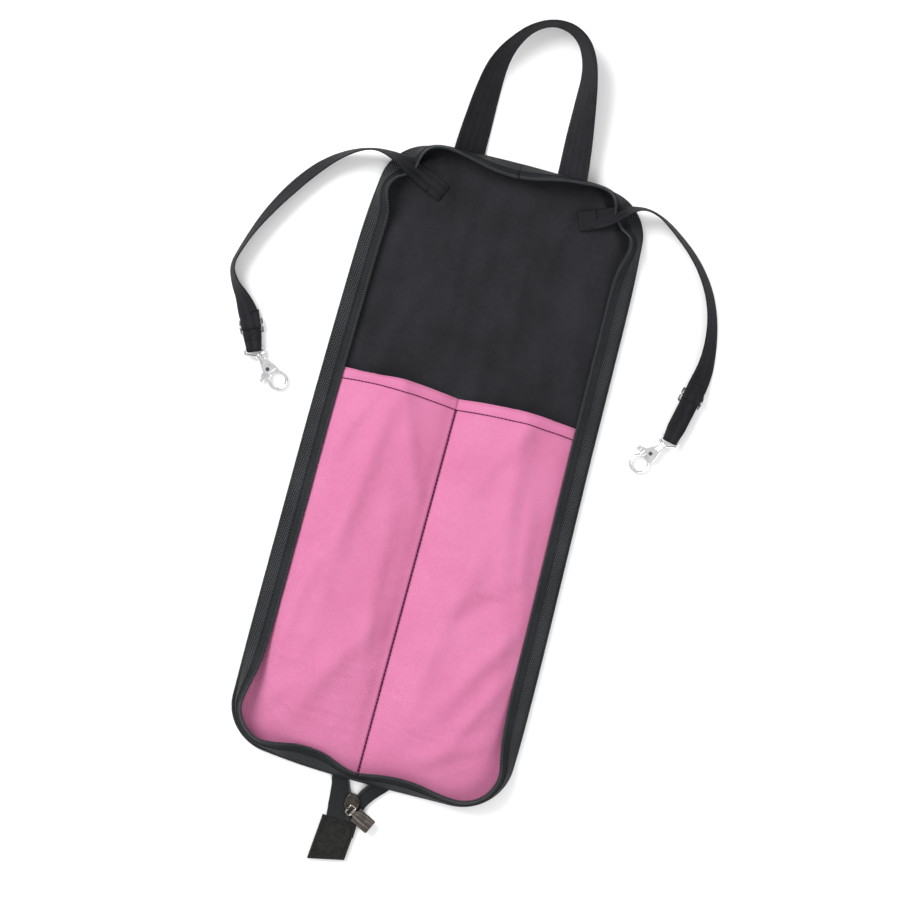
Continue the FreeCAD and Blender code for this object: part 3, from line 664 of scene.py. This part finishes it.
# The webbing's lean along each strap: share of the length, degrees from lying flat
LEANS = {
    "left": (
        [0, 0.07, 0.13, 0.19, 0.23, 0.30, 0.42, 0.52, 0.62, 0.72, 0.80, 0.86, 0.92, 0.97, 1.0],
        [4, 22, 52, 76, 84, 70, 52, 50, 58, 70, 76, 74, 58, 28, 0],
    ),
    "right": (
        [0, 0.07, 0.13, 0.19, 0.25, 0.33, 0.42, 0.52, 0.62, 0.72, 0.80, 0.88, 0.95, 1.0],
        [4, 26, 58, 80, 80, 72, 68, 64, 60, 56, 50, 40, 22, 0],
    ),
}
STRAP_WIDTH = 15.0
WEB_THICKNESS = 1.4
# Each doubled end: the middle of its tri-glide, its heading in degrees and how far on its fold lies
GLIDES = {
    "left": ((-166.4, 68.2), -68.3, 20.0),
    "right": ((169.9, 102.3), -101.8, 37.5),
}
LOOP_Z = 4.75


def strap(side):
    """One strap's webbing: up over the zipper tape, then on its edge along the floor."""
    line = resampled(spline_line(ROUTES[side]), 2.0)
    share = shares(line)
    lean = eased(share, *LEANS[side], 0.025)
    if side == "right":
        lean = -lean
    across, top = level_frame(line, lean)
    low = STRAP_WIDTH / 2 * np.abs(across[:, 2]) + WEB_THICKNESS / 2 * np.abs(top[:, 2])
    clear = line[:, 2] - low
    beyond = np.interp(share, [0.26, 0.38, 0.93, 1.0], [0, 1, 1, 0])
    needed = np.interp(share, [0, 0.04, 0.09, 0.20, 0.26], [4.4, 5.4, 8.2, 8.2, 6.0])
    raised = np.interp(share, [0, 0.06, 0.9, 0.93], [0, 1, 1, 0])
    line[:, 2] -= beyond * (clear - 0.35)
    line[:, 2] += (1 - beyond) * np.maximum(0, needed - clear) * raised
    piece = band(f"strap_web_{side}", line, across, top, STRAP_WIDTH, WEB_THICKNESS, WEBBING)
    stand_in(piece, HALF_BODY[side], "webbing", f"strap_{side}")
    return piece, line, across


def straight(origin, ahead, profile):
    """Points at (along, height) pairs on one heading from a place in the plan."""
    x, z = np.array(profile).T
    return np.column_stack([origin + ahead * x[:, None], z])


def strap_end(side):
    """The strap's folded end, sewn flat to the lining."""
    start, second = np.array(ROUTES[side])[:2, :2]
    ahead = unit(second - start)
    profile = [(-11.0, 4.9), (-10.2, 5.3), (-8.0, 6.1), (-4.0, 6.5), (0.0, 6.7), (2.5, 6.9)]
    line = resampled(straight(start, ahead, profile), 1.0)
    across, top = level_frame(line)
    piece = band(f"strap_end_{side}", line, across, top, STRAP_WIDTH, 2.6, WEBBING)
    stand_in(piece, HALF_BODY[side], "webbing", f"strap_anchor_{side}")
    corners = [(-9.0, -5.5), (-1.2, -5.5), (-1.2, 5.5), (-9.0, 5.5)]
    sew_box(f"strap_end_stitch_{side}", corners, HALF_BODY[side], start, ahead, 7.75, 0.06)


def sew_box(name, corners, body, origin, ahead, height, slope=0.0):
    """A sewn box with a cross in it, its corners given along and across a heading."""
    left = np.array([-ahead[1], ahead[0]])
    first, second, third, fourth = corners
    strokes = list(zip(corners, corners[1:] + corners[:1])) + [(first, third), (second, fourth)]
    rows = []
    for start, end in strokes:
        a, b = np.linspace(start, end, 6).T[:, :, None]
        rows.append((np.column_stack([origin + ahead * a + left * b, height + slope * a]), UP))
    stitch_rows(name, rows, THREAD_DARK, body, length=1.7, gap=0.5, radius=0.24, lift=0.12)


def keeper(side, strap_line, strap_across):
    """The doubled end: over the tri-glide's bar, round the hook's bar and back underneath."""
    origin, heading, end = GLIDES[side]
    origin = np.array(origin)
    h = math.radians(heading)
    ahead = np.array([math.cos(h), math.sin(h)])
    left = np.array([-ahead[1], ahead[0], 0.0])
    lifted = [0, 0, LOOP_Z]
    bar = end - 2.7
    arc = [(bar + 2.0 * math.sin(a), 2.0 * math.cos(a)) for a in np.linspace(0, math.pi, 9)]
    over = [(-3.0, 1.2), (-1.0, 1.95), (1.0, 2.15), (4.0, 2.1), (7.0, 2.0), (bar - 4.0, 2.0)]
    under = [(bar - 4.0, -2.0), (4.0, -2.0), (-4.0, -2.0), (-9.0, -1.6), (-12.0, -1.0)]
    line = resampled(straight(origin, ahead, [*over, *arc, *under]) + lifted, 0.8)
    along = (line[:, :2] - origin) @ ahead
    across = np.broadcast_to(left, line.shape)
    top = unit(np.cross(tangents(line), across))
    width = eased(along, [-13, 3, bar - 9, bar - 2, bar + 3], [14.0, 13.6, 13.6, 11.6, 11.2], 1.6)
    piece = band(f"keeper_{side}", line, across, top, width, 1.3, WEBBING)
    # the strap's own end, which runs on over the tri-glide's bar
    end_point, onward = strap_line[-1], unit(strap_line[-1] - strap_line[-2])
    over_bar = [(-3.4, 2.2), (-1.2, 3.3), (1.2, 3.3), (2.4, 2.7), (2.7, 1.9)]
    over_bar = straight(origin, ahead, over_bar) + lifted
    line = spline_line([end_point, end_point + onward * 2.5, *over_bar])
    line = np.vstack([strap_line[-2:-1], resampled(line, 0.7)])
    sideways = np.vstack([strap_across[-2:-1], np.broadcast_to(strap_across[-1], line[1:].shape)])
    turned = np.linspace(0, 1, len(line))[:, None]
    across = unit(sideways * (1 - turned) + left * turned)
    top = unit(np.cross(tangents(line), across))
    width, thickness = STRAP_WIDTH + 0.04, WEB_THICKNESS + 0.02
    lip = band(f"keeper_lip_{side}", line, across, top, width, thickness, WEBBING)
    stand_in(lip, HALF_BODY[side], "webbing")
    stand_in(piece, HALF_BODY[side], "webbing", f"strap_keeper_{side}")
    corners = [(3.0, -5.2), (bar - 6.5, -5.0), (bar - 6.5, 5.0), (3.0, 5.2)]
    sew_box(f"keeper_stitch_{side}", corners, HALF_BODY[side], origin, ahead, LOOP_Z + 2.72)
    return piece


for side_name in SIDES:
    web, centre_line, web_across = strap(side_name)
    strap_end(side_name)
    keeper_piece = keeper(side_name, centre_line, web_across)

# ---- padded panel and lining


def plan_grid(side, inset, rows, columns):
    """Plan points of one half: x outwards from the centre seam, for each height."""
    points = rim(side, inset)
    y = rows_between(points[:, 1].min(), points[:, 1].max(), rows)
    f = np.linspace(0, 1, columns)
    f = f + 0.25 * np.sin(math.pi * f) * (1 - f) * 0.4
    x = f[None, :] * half_width(side, inset, y)[:, None] * SIDES[side]
    return x, np.broadcast_to(y[:, None], x.shape)


LINING_FOLDS = {
    "left": [
        (-50, 205, 100, 40, 7, 1.0),
        (-28, 170, 92, 60, 5, 0.8),
        (-76, 150, 84, 70, 8, 1.1),
        (-84, 212, 38, 26, 5, 1.2),
        (-72, 221, 57, 22, 2.8, 1.7),
        (-63, 226, 57, 22, 2.8, 1.5),
        (-54, 228, 60, 20, 2.8, 1.2),
        (-12, 120, 88, 70, 6, 0.6),
        (-55, 110, 70, 45, 6, 0.7),
    ],
    "right": [
        (46, 210, 80, 45, 7, 1.1),
        (24, 150, 90, 70, 5, 0.8),
        (72, 140, 96, 60, 8, 1.0),
        (82, 205, 130, 30, 5, 1.3),
        (70, 224, 122, 18, 3.0, 1.2),
        (10, 90, 91, 60, 6, 0.6),
        (52, 95, 108, 45, 6, 0.8),
    ],
}


def shell(side):
    """The outer cloth over its foam: flat where it rests, rolled up at the edge."""
    x, y = plan_grid(side, 0.4, 150, 30)
    d = edge_distance(side, x, y, 0.4)
    round_off = 1.7 * rounded(d, 3.0)
    quilt = 0.1 * np.sin(x / 9.0 + 0.4 * np.sin(y / 31.0)) * np.clip(d / 12, 0, 1)
    upper = np.stack([x, y, 3.75 - round_off + 0 * x], -1)
    lower = np.stack([x, y, 0.25 + round_off + np.maximum(quilt, 0)], -1)
    points, faces = slab(upper, lower)
    if side == "left":
        faces = faces[:, ::-1]
    piece = new_piece(f"outer_shell_cloth_{side}", points, faces, OUTER)
    nodes = [f"outer_shell_{side}", f"foam_pad_{side}", "outer_shell_spine", "foam_pad_spine"]
    stand_in(piece, side, "outer_fabric", *nodes)
    return piece


def lining(side):
    """The black lining, with the slack folds that the photographed bag has above its pocket."""
    x, y = plan_grid(side, 1.0, 190, 52)
    d = edge_distance(side, x, y, 1.0)
    calm = np.clip(d / 14.0, 0, 1)
    z = LINING_Z + 0.1 + ridges(x, y, LINING_FOLDS[side]) * calm * np.clip((y - 20) / 40, 0, 1)
    z = z + 0.18 * np.sin(x / 3.7 + 1.6 * np.sin(y / 23.0)) * np.sin(y / 41.0) * calm
    z = z - 0.5 * (1 - np.clip(d / 2.5, 0, 1))
    piece = grid_piece(f"lining_cloth_{side}", np.stack([x, y, z], -1), LINING, flip=side == "right")
    stand_in(piece, side, "lining_fabric", f"lining_{side}", "lining_spine")
    return piece


def piping(side):
    """The rolled binding that covers the foam's raw edge."""
    line = np.column_stack([rim(side, 0.9), 2.5 + 0.2 * np.sin(EDGE_S / 17.0)])
    across, top = level_frame(line)
    section = circle_section(1.0, 14) * [1.7, 1.95]
    grid = swept(line, across, top, section)
    piece = grid_piece(f"edge_roll_{side}", grid, GUSSET, closed=True)
    stand_in(piece, side, "outer_fabric", f"edge_binding_{side}", "edge_binding_spine")


shells = {s: shell(s) for s in SIDES}
linings = {s: lining(s) for s in SIDES}
for s in SIDES:
    piping(s)

# ---- zipper tapes

TAPE_WIDTH = 15.0
COIL_PITCH = 1.3
# The tape's lean by distance round each half: 0 is folded flat over the lining, 90 stands up
TAPE_LEAN = {
    "left": (
        [0, 12, 24, 38, 50, 62, 70, 80, 90, 118, 127, 134, 144, 156]
        + [460, 500, 528, 545, 585, 602, 616, 636, 650, 664],
        [43, 43, 52, 68, 84, 94, 90, 52, 5, 5, 60, 76, 46, 8]
        + [8, 22, 62, 74, 72, 50, 22, 24, 60, 66],
    ),
    "right": (
        [0, 8, 16, 30, 48, 62, 72, 80, 88, 112, 121, 129, 138, 150, 166]
        + [470, 512, 541, 560, 590, 605, 620, 640, 664],
        [43, 47, 57, 72, 84, 92, 88, 52, 5, 5, 58, 70, 50, 30, 8]
        + [8, 26, 62, 72, 70, 62, 48, 46, 66],
    ),
}
# How far in from the edge the tape is sewn
TAPE_SEWN = {
    "left": ([0, 500, 530, 550, 582, 604, 664], [1.2, 1.2, 2.4, 3.4, 3.4, 1.6, 1.2]),
    "right": ([0, 664], [1.2, 1.2]),
}


def tape_frames(side):
    """For each station: the sewn edge, the ways across, up from and in from it, and the tape's lean."""
    lean = np.radians(eased(EDGE_S, *TAPE_LEAN[side], 7.0))
    sewn = eased(EDGE_S, *TAPE_SEWN[side], 7.0)
    base = rim(side, sewn)
    line = np.column_stack([base, np.full(len(base), LINING_Z + 1.2)])
    inward = -np.column_stack([EDGE_OUT * [SIDES[side], 1], np.zeros(len(base))])
    across = inward * np.cos(lean)[:, None] + UP * np.sin(lean)[:, None]
    top = UP * np.cos(lean)[:, None] - inward * np.sin(lean)[:, None]
    return line, across, top, inward, lean


def coil_wire(name, line, across, top, turns, reach, height, lift, radius):
    """A wire wound along a line: reach to each side of it, height above and below its lifted middle."""
    angle = turns * 2 * math.pi
    helix = line + across * (reach * np.cos(angle))[:, None]
    helix = helix + top * (lift + height * np.sin(angle))[:, None]
    tangent = tangents(helix)
    out = unit(np.cross(tangents(line), tangent))
    grid = swept(helix, out, np.cross(tangent, out), circle_section(radius, 5))
    return grid_piece(name, grid, COIL, closed=True)


def zipper(side):
    """One side's gusset and zipper tape, the seam between them and the coil on the free edge."""
    line, across, top, inward, lean = tape_frames(side)
    wobble = 0.4 * np.sin(EDGE_S / 13.0) + 0.3 * np.sin(EDGE_S / 5.3 + 1)
    gusset_columns = 10
    seam_column = 11
    u = np.concatenate([np.linspace(0, 0.5, 9), [0.53, 0.56], np.linspace(0.62, 1, 8)])
    curl = 1.6 * np.sin(math.pi * u)[None, :] * np.sin(lean)[:, None] ** 2
    lift = curl + (0.35 * u * wobble[:, None]) + 0.55 * (u < 0.54)[None, :]
    flat = line[:, None] + across[:, None] * (u * TAPE_WIDTH)[None, :, None]
    upper = flat + top[:, None] * (lift + 0.35)[..., None]
    lower = flat + top[:, None] * (curl - 0.25)[..., None]
    root = (line - UP * 1.7)[:, None]
    grid = np.concatenate([root, upper, lower[:, ::-1], root + inward[:, None] * 0.6], 1)
    piece = grid_piece(f"zipper_tape_cloth_{side}", grid, GUSSET, closed=True, flip=side == "right")
    piece.data.materials.append(TAPE)
    tape_columns = grid.shape[1] - gusset_columns
    strip = [0] * gusset_columns + [1] * tape_columns
    piece.data.polygons.foreach_set("material_index", strip * (len(EDGE_S) - 1) + [0, 0])
    stand_in(piece, side, "zipper_fabric", f"zipper_tape_{side}", "zipper_top_end")
    seam = line + across * (0.6 * TAPE_WIDTH) + top * (curl[:, [seam_column]] + 0.45)
    name = f"zipper_seam_{side}"
    stitch_rows(name, [(seam, top)], THREAD_DARK, side, length=2.8, gap=0.7, radius=0.22)
    fine = np.arange(1.0, EDGE_S[-1] - 1, 0.16)
    edge = line + across * (TAPE_WIDTH - 0.5) + top * (0.35 * wobble)[:, None]
    edge, over, high = (read_line(fine, EDGE_S, values) for values in (edge, across, top))
    name = f"zipper_coil_wire_{side}"
    coil = coil_wire(name, edge, unit(over), unit(high), fine / COIL_PITCH, 1.05, 0.95, 0.2, 0.34)
    stand_in(coil, side, "zipper_coil", f"zipper_coil_{side}")


for s in SIDES:
    zipper(s)

# ---- pockets

MOUTH_Y = 55.0
HEM_Y = 47.2
MOUTH_SLACK = 3.2
POCKET_INSET = 3.2
POCKET_COLUMNS = 46


def arch(side, x, y):
    """How far the pocket's front stands off the lining."""
    wide = half_width(side, POCKET_INSET, y) - 9.0
    share = np.clip(np.abs(x) / wide, 0, 1)
    dome = 7.0 * np.sin(math.pi * share) ** 1.1
    shelf = 1.8 * smooth(share / 0.3) * smooth((1 - share) / 0.12)
    drop = smooth((y + 238.0) / 75.0) ** 0.8
    return (dome + shelf) * drop + 0.9 * np.clip(np.abs(x) / 12.0, 0, 1) * (1 - share)


POCKET_FOLDS = {
    "left": [
        (-56, -20, 84, 130, 8, 2.2),
        (-26, 10, 112, 60, 7, 1.8),
        (-78, -120, 78, 80, 7, 2.2),
        (-42, -165, 62, 60, 9, 2.4),
        (-72, 20, 66, 44, 6, 1.6),
        (-60, -95, 128, 44, 9, -1.8),
        (-24, -110, 96, 70, 7, 1.6),
        (-82, -200, 48, 34, 6, 1.6),
    ],
    "right": [
        (58, -10, 98, 120, 8, 2.0),
        (32, -120, 80, 90, 8, 2.0),
        (80, -60, 102, 60, 6, 1.8),
        (72, -128, 58, 54, 7, 2.6),
        (76, -165, 62, 48, 6, 2.0),
        (44, 25, 60, 46, 7, 1.6),
        (60, -90, 38, 44, 8, -1.8),
        (60, -205, 30, 46, 7, 1.8),
    ],
}


def pocket_start(side):
    """A pocket's front as it is cut and sewn, arched over what it would hold."""
    low = -HALF_LENGTH + 1.0
    y = np.concatenate([[MOUTH_Y, 52.4, 49.8, HEM_Y], rows_between(low, 44.6, 118, 0.2)])
    f = np.linspace(0, 1, POCKET_COLUMNS)
    x = f[None, :] * half_width(side, POCKET_INSET, y)[:, None] * SIDES[side]
    y = np.maximum(y, rim(side, POCKET_INSET)[:, 1].min())[:, None]
    y = y + MOUTH_SLACK * np.sin(math.pi * f)[None, :] * np.clip((y - 5) / 50, 0, 1)
    return np.stack([x, y, LINING_Z + 0.5 + arch(side, x, y)], -1)


def fold_marks(side, grid):
    """Where a front stands free of its seams, from 0 to 1, and its folds' height there."""
    x, y = grid[..., 0], grid[..., 1]
    full = np.clip(arch(side, x, y) / 6.0, 0, 1)
    return full, ridges(x, y, POCKET_FOLDS[side]) * full


CLOTH_FRAMES = 30
CLOTH_SETTINGS = {
    "quality": 6,
    "mass": 0.3,
    "tension_stiffness": 25,
    "compression_stiffness": 25,
    "shear_stiffness": 12,
    "bending_stiffness": 1.2,
    "air_damping": 2.0,
    "shrink_min": -0.012,
    "vertex_group_mass": "pin",
}


def drape(grids):
    """Lets both fronts settle over soft forms, held at their seams, and reads the result."""
    holders = {}
    forms = []
    for side, grid in grids.items():
        full, marks = fold_marks(side, grid)
        form_grid = grid.copy()
        form_grid[..., 2] += marks - 1.2
        form = grid_piece("form", form_grid, PINK, flip=side == "right")
        form.modifiers.new("collision", "COLLISION")
        form.collision.thickness_outer = 0.001
        forms.append(form)
        raised = grid.copy()
        raised[..., 2] += 2.6 * full
        cloth_piece = grid_piece("cloth", raised, PINK, flip=side == "right")
        pin = cloth_piece.vertex_groups.new(name="pin")
        wide = np.abs(grid[..., 0])
        held = (wide < 4) | (wide > wide[:, -1:] - 10) | (grid[..., 1] < -233)
        pin.add([int(i) for i in np.nonzero(held.ravel())[0]], 1.0, "REPLACE")
        made = cloth_piece.modifiers.new("cloth", "CLOTH")
        for key, value in CLOTH_SETTINGS.items():
            setattr(made.settings, key, value)
        made.collision_settings.distance_min = 0.0012
        made.collision_settings.use_self_collision = False
        holders[side] = cloth_piece
    for number in range(CLOTH_FRAMES):
        scene.frame_set(number + 1)
    depsgraph = bpy.context.evaluated_depsgraph_get()
    settled = {}
    for side, holder in holders.items():
        mesh = holder.evaluated_get(depsgraph).to_mesh()
        co = np.array([v.co for v in mesh.vertices], float) / MM
        grid = grids[side]
        x, y = grid[..., 0], grid[..., 1]
        free = np.minimum((edge_distance(side, x, y, POCKET_INSET) - 10) / 18, (np.abs(x) - 3) / 9)
        settled[side] = grid + (co.reshape(grid.shape) - grid) * smooth(free)[..., None]
        settled[side][..., 2] += 0.7 * fold_marks(side, grid)[1]
    for thing in [*holders.values(), *forms]:
        bpy.data.objects.remove(thing)
    scene.frame_set(1)
    return settled


def pocket_shapes():
    grids = {side: pocket_start(side) for side in SIDES}
    return drape(grids)
    for side, grid in grids.items():
        grid[..., 2] += fold_marks(side, grid)[1]
    return grids


def normals_of(grid):
    """The upward normal at each point of a sheet."""
    rows = np.gradient(grid, axis=0)
    cols = np.gradient(grid, axis=1)
    n = unit(np.cross(cols, rows))
    return n * np.sign(n[..., 2:3])


def pocket(side, grid):
    """A pocket's front, 0.7 mm thick."""
    skin = normals_of(grid) * 0.35
    grid = np.concatenate([grid + skin, (grid - skin)[:, ::-1]], 1)
    piece = grid_piece(f"pocket_cloth_{side}", grid, PINK, closed=True, flip=side == "left")
    stand_in(piece, side, "pink_canvas", f"pocket_front_{side}", "pocket_centre_strip")
    return piece


def hem(side, grid):
    """The turned mouth: a round fold along the edge and the turned cloth inside it."""
    n = normals_of(grid)
    middle = grid[0] - n[0] * 0.32
    away = unit(grid[0] - grid[1])
    turn = np.linspace(0, math.pi, 7)[:, None, None]
    fold = middle + n[0] * (0.62 * np.cos(turn)) + away * (0.62 * np.sin(turn))
    rows = np.concatenate([fold, grid[1:4] - n[1:4] * 0.95])
    piece = grid_piece(f"pocket_hem_cloth_{side}", rows, PINK, flip=side == "left")
    thick = piece.modifiers.new("cloth", "SOLIDIFY")
    thick.thickness = 0.25 * MM
    thick.offset = 0
    stand_in(piece, side, "pink_canvas", f"pocket_hem_{side}")
    sewn = [(grid[3] + n[3] * 0.5, n[3])]
    sizes = {"length": 2.8, "gap": 0.1, "radius": 0.44}
    stitch_rows(f"hem_stitches_{side}", sewn, THREAD_WINE, side, f"hem_stitching_{side}", **sizes)
    return piece


pockets = pocket_shapes()
for s, shape in pockets.items():
    front = pocket(s, shape)
    turned = hem(s, shape)


def centre_seam():
    """The row of thread that joins both pockets to the spine, its stitches nearly touching so that the
    row also stands as the painted shadow line in the seam.
    """
    line = (pockets["left"][3:, 0] + pockets["right"][3:, 0]) / 2
    line[:, 0] = 0
    line[:, 2] += 0.75
    rows = [(resampled(line[line[:, 1] > -238.5], 1.5), UP)]
    # Near-unbroken stitches: the row is partly the dark thread and partly the painted shadow line along
    # the seam.
    sizes = {"length": 3.0, "gap": 0.1, "radius": 0.5}
    stitch_rows("centre_stitches_and_painted_seam_shadow", rows, THREAD_WINE, "spine", "centre_stitching", **sizes)


centre_seam()

# ---- carry handle

HANDLE_WIDTH = 25.0
# x, y and width as seen from above along the handle, from the left leg over the top to the right leg
HANDLE = [
    (-41.5, 236, 25), (-41.3, 252, 24.2), (-40.8, 267, 22.7), (-40.2, 286, 20.5),
    (-38.6, 305.5, 17.6), (-35, 319, 13.8), (-29, 331, 10), (-20, 343.2, 7.2), (-6, 351.6, 6.2),
    (9, 351.4, 8.4), (21, 344.2, 10.4), (28.5, 331.5, 11.8), (32, 318, 13.2), (33.6, 304, 16.2),
    (35.2, 287.6, 19), (36.9, 269, 21.9), (38.6, 251, 23.5), (39.6, 236, 24.4),
]


def handle():
    """The webbing loop, leaning as far as its width seen from the camera says."""
    line = resampled(resampled(spline_line(HANDLE), 2.0), 2.0)
    shown = line[:, 2].copy()
    line[:, 2] = 0
    flat, _ = level_frame(line)
    off = line[:, :2] - CAMERA_AT
    tilt = (flat[:, :2] * off).sum(axis=1) / CAMERA_HEIGHT
    foreshortened = (shown - 1.4) / (HANDLE_WIDTH * np.sqrt(1 + tilt**2))
    lean = np.arctan(tilt) + np.arccos(np.clip(foreshortened, 0.05, 0.985))
    line[:, 2] = 2.2 + HANDLE_WIDTH / 2 * np.sin(lean)
    line[:, :2] -= off * (line[:, 2:] / CAMERA_HEIGHT)
    across, top = level_frame(line, np.degrees(lean))
    section = webbing_section(HANDLE_WIDTH, 1.7, 7)
    grid = swept(line, across, top, section)
    low = grid[..., 2].min(axis=1)
    grid[..., 2] -= (low - np.interp(line[:, 1], [240, 262], [0.9, 0.5]))[:, None]
    middle = int(np.argmin(np.abs(line[:, 0]) + 1000 * (line[:, 1] < 300)))
    parts = {"left": grid[: middle + 1], "right": grid[middle:]}
    for side, rows in parts.items():
        piece = grid_piece(f"handle_web_{side}", rows, WEBBING, closed=True, flip=True)
        stand_in(piece, side, "webbing", f"handle_{side}", "handle_apex")


handle()

# ---- zipper tail

# x, y, z and width along each tape of the tail
TAIL = {
    "left": [
        (-13.4, -239.5, 2.2, 10), (-12.4, -244.5, 2.2, 12.4), (-10.7, -249, 2.4, 13),
        (-9.2, -256, 2.4, 14.6), (-7.6, -264, 2.4, 16.2), (-7, -272, 2.4, 15.8),
        (-6.9, -280, 2.4, 15.2), (-6.9, -287, 2.4, 15),
    ],
    "right": [
        (26, -239, 2.2, 8), (20.6, -243.6, 2.2, 10), (15.2, -247.9, 2.4, 11.5),
        (10.8, -253, 2.4, 11.8), (7.4, -260, 2.4, 10.2), (6.1, -268, 2.4, 8.4),
        (5.8, -277, 2.4, 7.6), (5.7, -287, 2.4, 7.4),
    ],
}
TAIL_COIL = {
    "left": [
        (-5.6, -244.5, 3.2), (-3.6, -250, 3.4), (-0.6, -256, 3.5), (0.5, -262, 3.4),
        (0.5, -274, 3.4),
    ],
    "right": [
        (13.4, -242, 3.2), (9, -247.6, 3.5), (4.4, -254.5, 3.6), (2.5, -262, 3.4),
        (2.5, -274, 3.4),
    ],
}


def tail(side):
    """One tape of the tail beyond the bag's edge, and the coil on its inner edge."""
    route = np.array(TAIL[side])
    points = spline_line(route[:, :3])
    widths = np.interp(shares(points), shares(route[:, :3]), route[:, 3])
    line = resampled(np.column_stack([points, widths]), 1.5)
    line, widths = line[:, :3], line[:, 3]
    across, top = level_frame(line)
    piece = band(f"zipper_tail_cloth_{side}", line, across, top, widths, 0.8, TAPE, 4)
    stand_in(piece, "spine", "zipper_fabric", f"zipper_tail_{side}")
    inner = resampled(spline_line(TAIL_COIL[side]), 0.16)
    across, top = level_frame(inner)
    turns = lengths(inner) / COIL_PITCH
    coil = coil_wire(f"zipper_tail_wire_{side}", inner, across, top, turns, 0.95, 0.75, 0.0, 0.33)
    stand_in(coil, "spine", "zipper_coil", "zipper_tail_coil")


for s in SIDES:
    tail(s)

# ---- leather tab

# The tab's corners from the top left round to the bottom left, with its width and length
TAB = np.array([(-17.6, -275.1), (9.6, -276.6), (7.3, -304.5), (-20.5, -310.5)])
TAB_WIDTH = 27.5
TAB_LENGTH = 32.0
TAB_TOP = 4.1
TAB_SEAM = 2.45


def tab_surface(a, b):
    """x, y and crowned height on the tab, a of the way across it and b of the way down it."""
    a, b = np.broadcast_arrays(a, b)
    top_left, top_right, low_right, low_left = TAB
    top_edge = top_left + (top_right - top_left) * a[..., None]
    low_edge = low_left + (low_right - low_left) * a[..., None]
    plan = top_edge + (low_edge - top_edge) * b[..., None]
    crown = 0.45 * np.sin(math.pi * a) * np.sin(math.pi * b)
    return plan, TAB_TOP + crown


def leather_tab():
    """Two layers of leather folded at the far end, a little crowned, with rounded edges."""
    f = np.linspace(0, 1, 29)
    soft = f - np.sin(2 * math.pi * f) / (2 * math.pi) * 0.6
    a, b = np.meshgrid(soft, soft)
    plan, crowned = tab_surface(a, b)
    away = np.minimum(np.minimum(a, 1 - a) * TAB_WIDTH, np.minimum(b, 1 - b) * TAB_LENGTH)
    drop = 0.75 * rounded(away, 1.3)
    sag = 0.25 * np.exp(-(((away - 2.6) / 0.9) ** 2))
    heights = (crowned - sag - drop, TAB_SEAM + 0.2 + 0 * a, TAB_SEAM - 0.2 + 0 * a, 0.5 + drop)
    layers = [np.dstack([plan, z]) for z in heights]
    upper, upper_faces = slab(*layers[:2])
    lower, lower_faces = slab(*layers[2:])
    faces = np.concatenate([upper_faces, lower_faces + len(upper)])[:, ::-1]
    piece = new_piece("leather_tab_folded", np.concatenate([upper, lower]), faces, LEATHER)
    stand_in(piece, "spine", "leather", "leather_tab")


def tab_stitching():
    """A row of stitches down each side of the tab and two rows across its top."""
    t = np.linspace(0, 1, 12)
    down, across = 0.09 + 0.84 * t, 0.09 + 0.82 * t
    rows = []
    for a, b in ((0.09, down), (0.91, down), (across, 0.08), (across, 0.17)):
        plan, height = tab_surface(a, b)
        rows.append((np.column_stack([plan, height - 0.2]), UP))
    sizes = {"length": 1.9, "gap": 0.8, "radius": 0.3, "lift": 0.25}
    stitch_rows("tab_stitches", rows, THREAD_DARK, "spine", "tab_stitching", **sizes)


leather_tab()
tab_stitching()

# ---- metal parts from the CAD


def dress(node, material):
    """Gives a CAD node's own mesh a better material."""
    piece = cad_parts[node]
    piece.data.materials.clear()
    piece.data.materials.append(material)


dress("slider_body", GUNMETAL)
dress("pull_ring", NICKEL)
dress("pull_tab", BRUSHED)
for s in SIDES:
    for name in ("tri_glide", "hook_base", "hook_body", "hook_lever"):
        dress(f"{name}_{s}", CHROME)
    dress(f"hook_rivet_{s}", DARK_STEEL)

# ---- floor and light

FLOOR_HALF = 9.0
FLOOR_Z = -0.0002


def floor():
    """A square floor in metres, just under the bag."""
    corners = [(-1, -1), (1, -1), (1, 1), (-1, 1)]
    mesh = bpy.data.meshes.new("floor")
    mesh.from_pydata([(x * FLOOR_HALF, y * FLOOR_HALF, FLOOR_Z) for x, y in corners], [], [(0, 1, 2, 3)])
    mesh.materials.append(floor_material())
    piece = bpy.data.objects.new("floor", mesh)
    scene.collection.objects.link(piece)


def light(name, place, size, power):
    """A round soft light that points at the middle of the bag."""
    data = bpy.data.lights.new(name, "AREA")
    data.shape = "DISK"
    data.size = size
    data.energy = power
    lamp = bpy.data.objects.new(name, data)
    scene.collection.objects.link(lamp)
    lamp.location = place
    lamp.rotation_euler = (-Vector(place)).to_track_quat("-Z", "Y").to_euler()


def studio():
    """A white surround that is dimmer near the horizon, with a soft key and a softer fill."""
    world = bpy.data.worlds.new("studio")
    world.use_nodes = True
    nodes, links = world.node_tree.nodes, world.node_tree.links
    place = nodes.new("ShaderNodeTexCoord")
    split = nodes.new("ShaderNodeSeparateXYZ")
    fade = nodes.new("ShaderNodeMapRange")
    for key, value in {"From Min": 0.05, "From Max": 0.55, "To Min": 0.22, "To Max": 0.78}.items():
        fade.inputs[key].default_value = value
    links.new(place.outputs["Generated"], split.inputs["Vector"])
    links.new(split.outputs["Z"], fade.inputs["Value"])
    links.new(fade.outputs["Result"], nodes["Background"].inputs["Strength"])
    nodes["Background"].inputs["Color"].default_value = (1, 1, 1, 1)
    scene.world = world
    light("key", (-1.35, 0.75, 1.45), 1.25, 43.0)
    light("fill", (0.9, -0.6, 1.5), 1.4, 12.5)
    scene.view_settings.view_transform = "Standard"


floor()
studio()
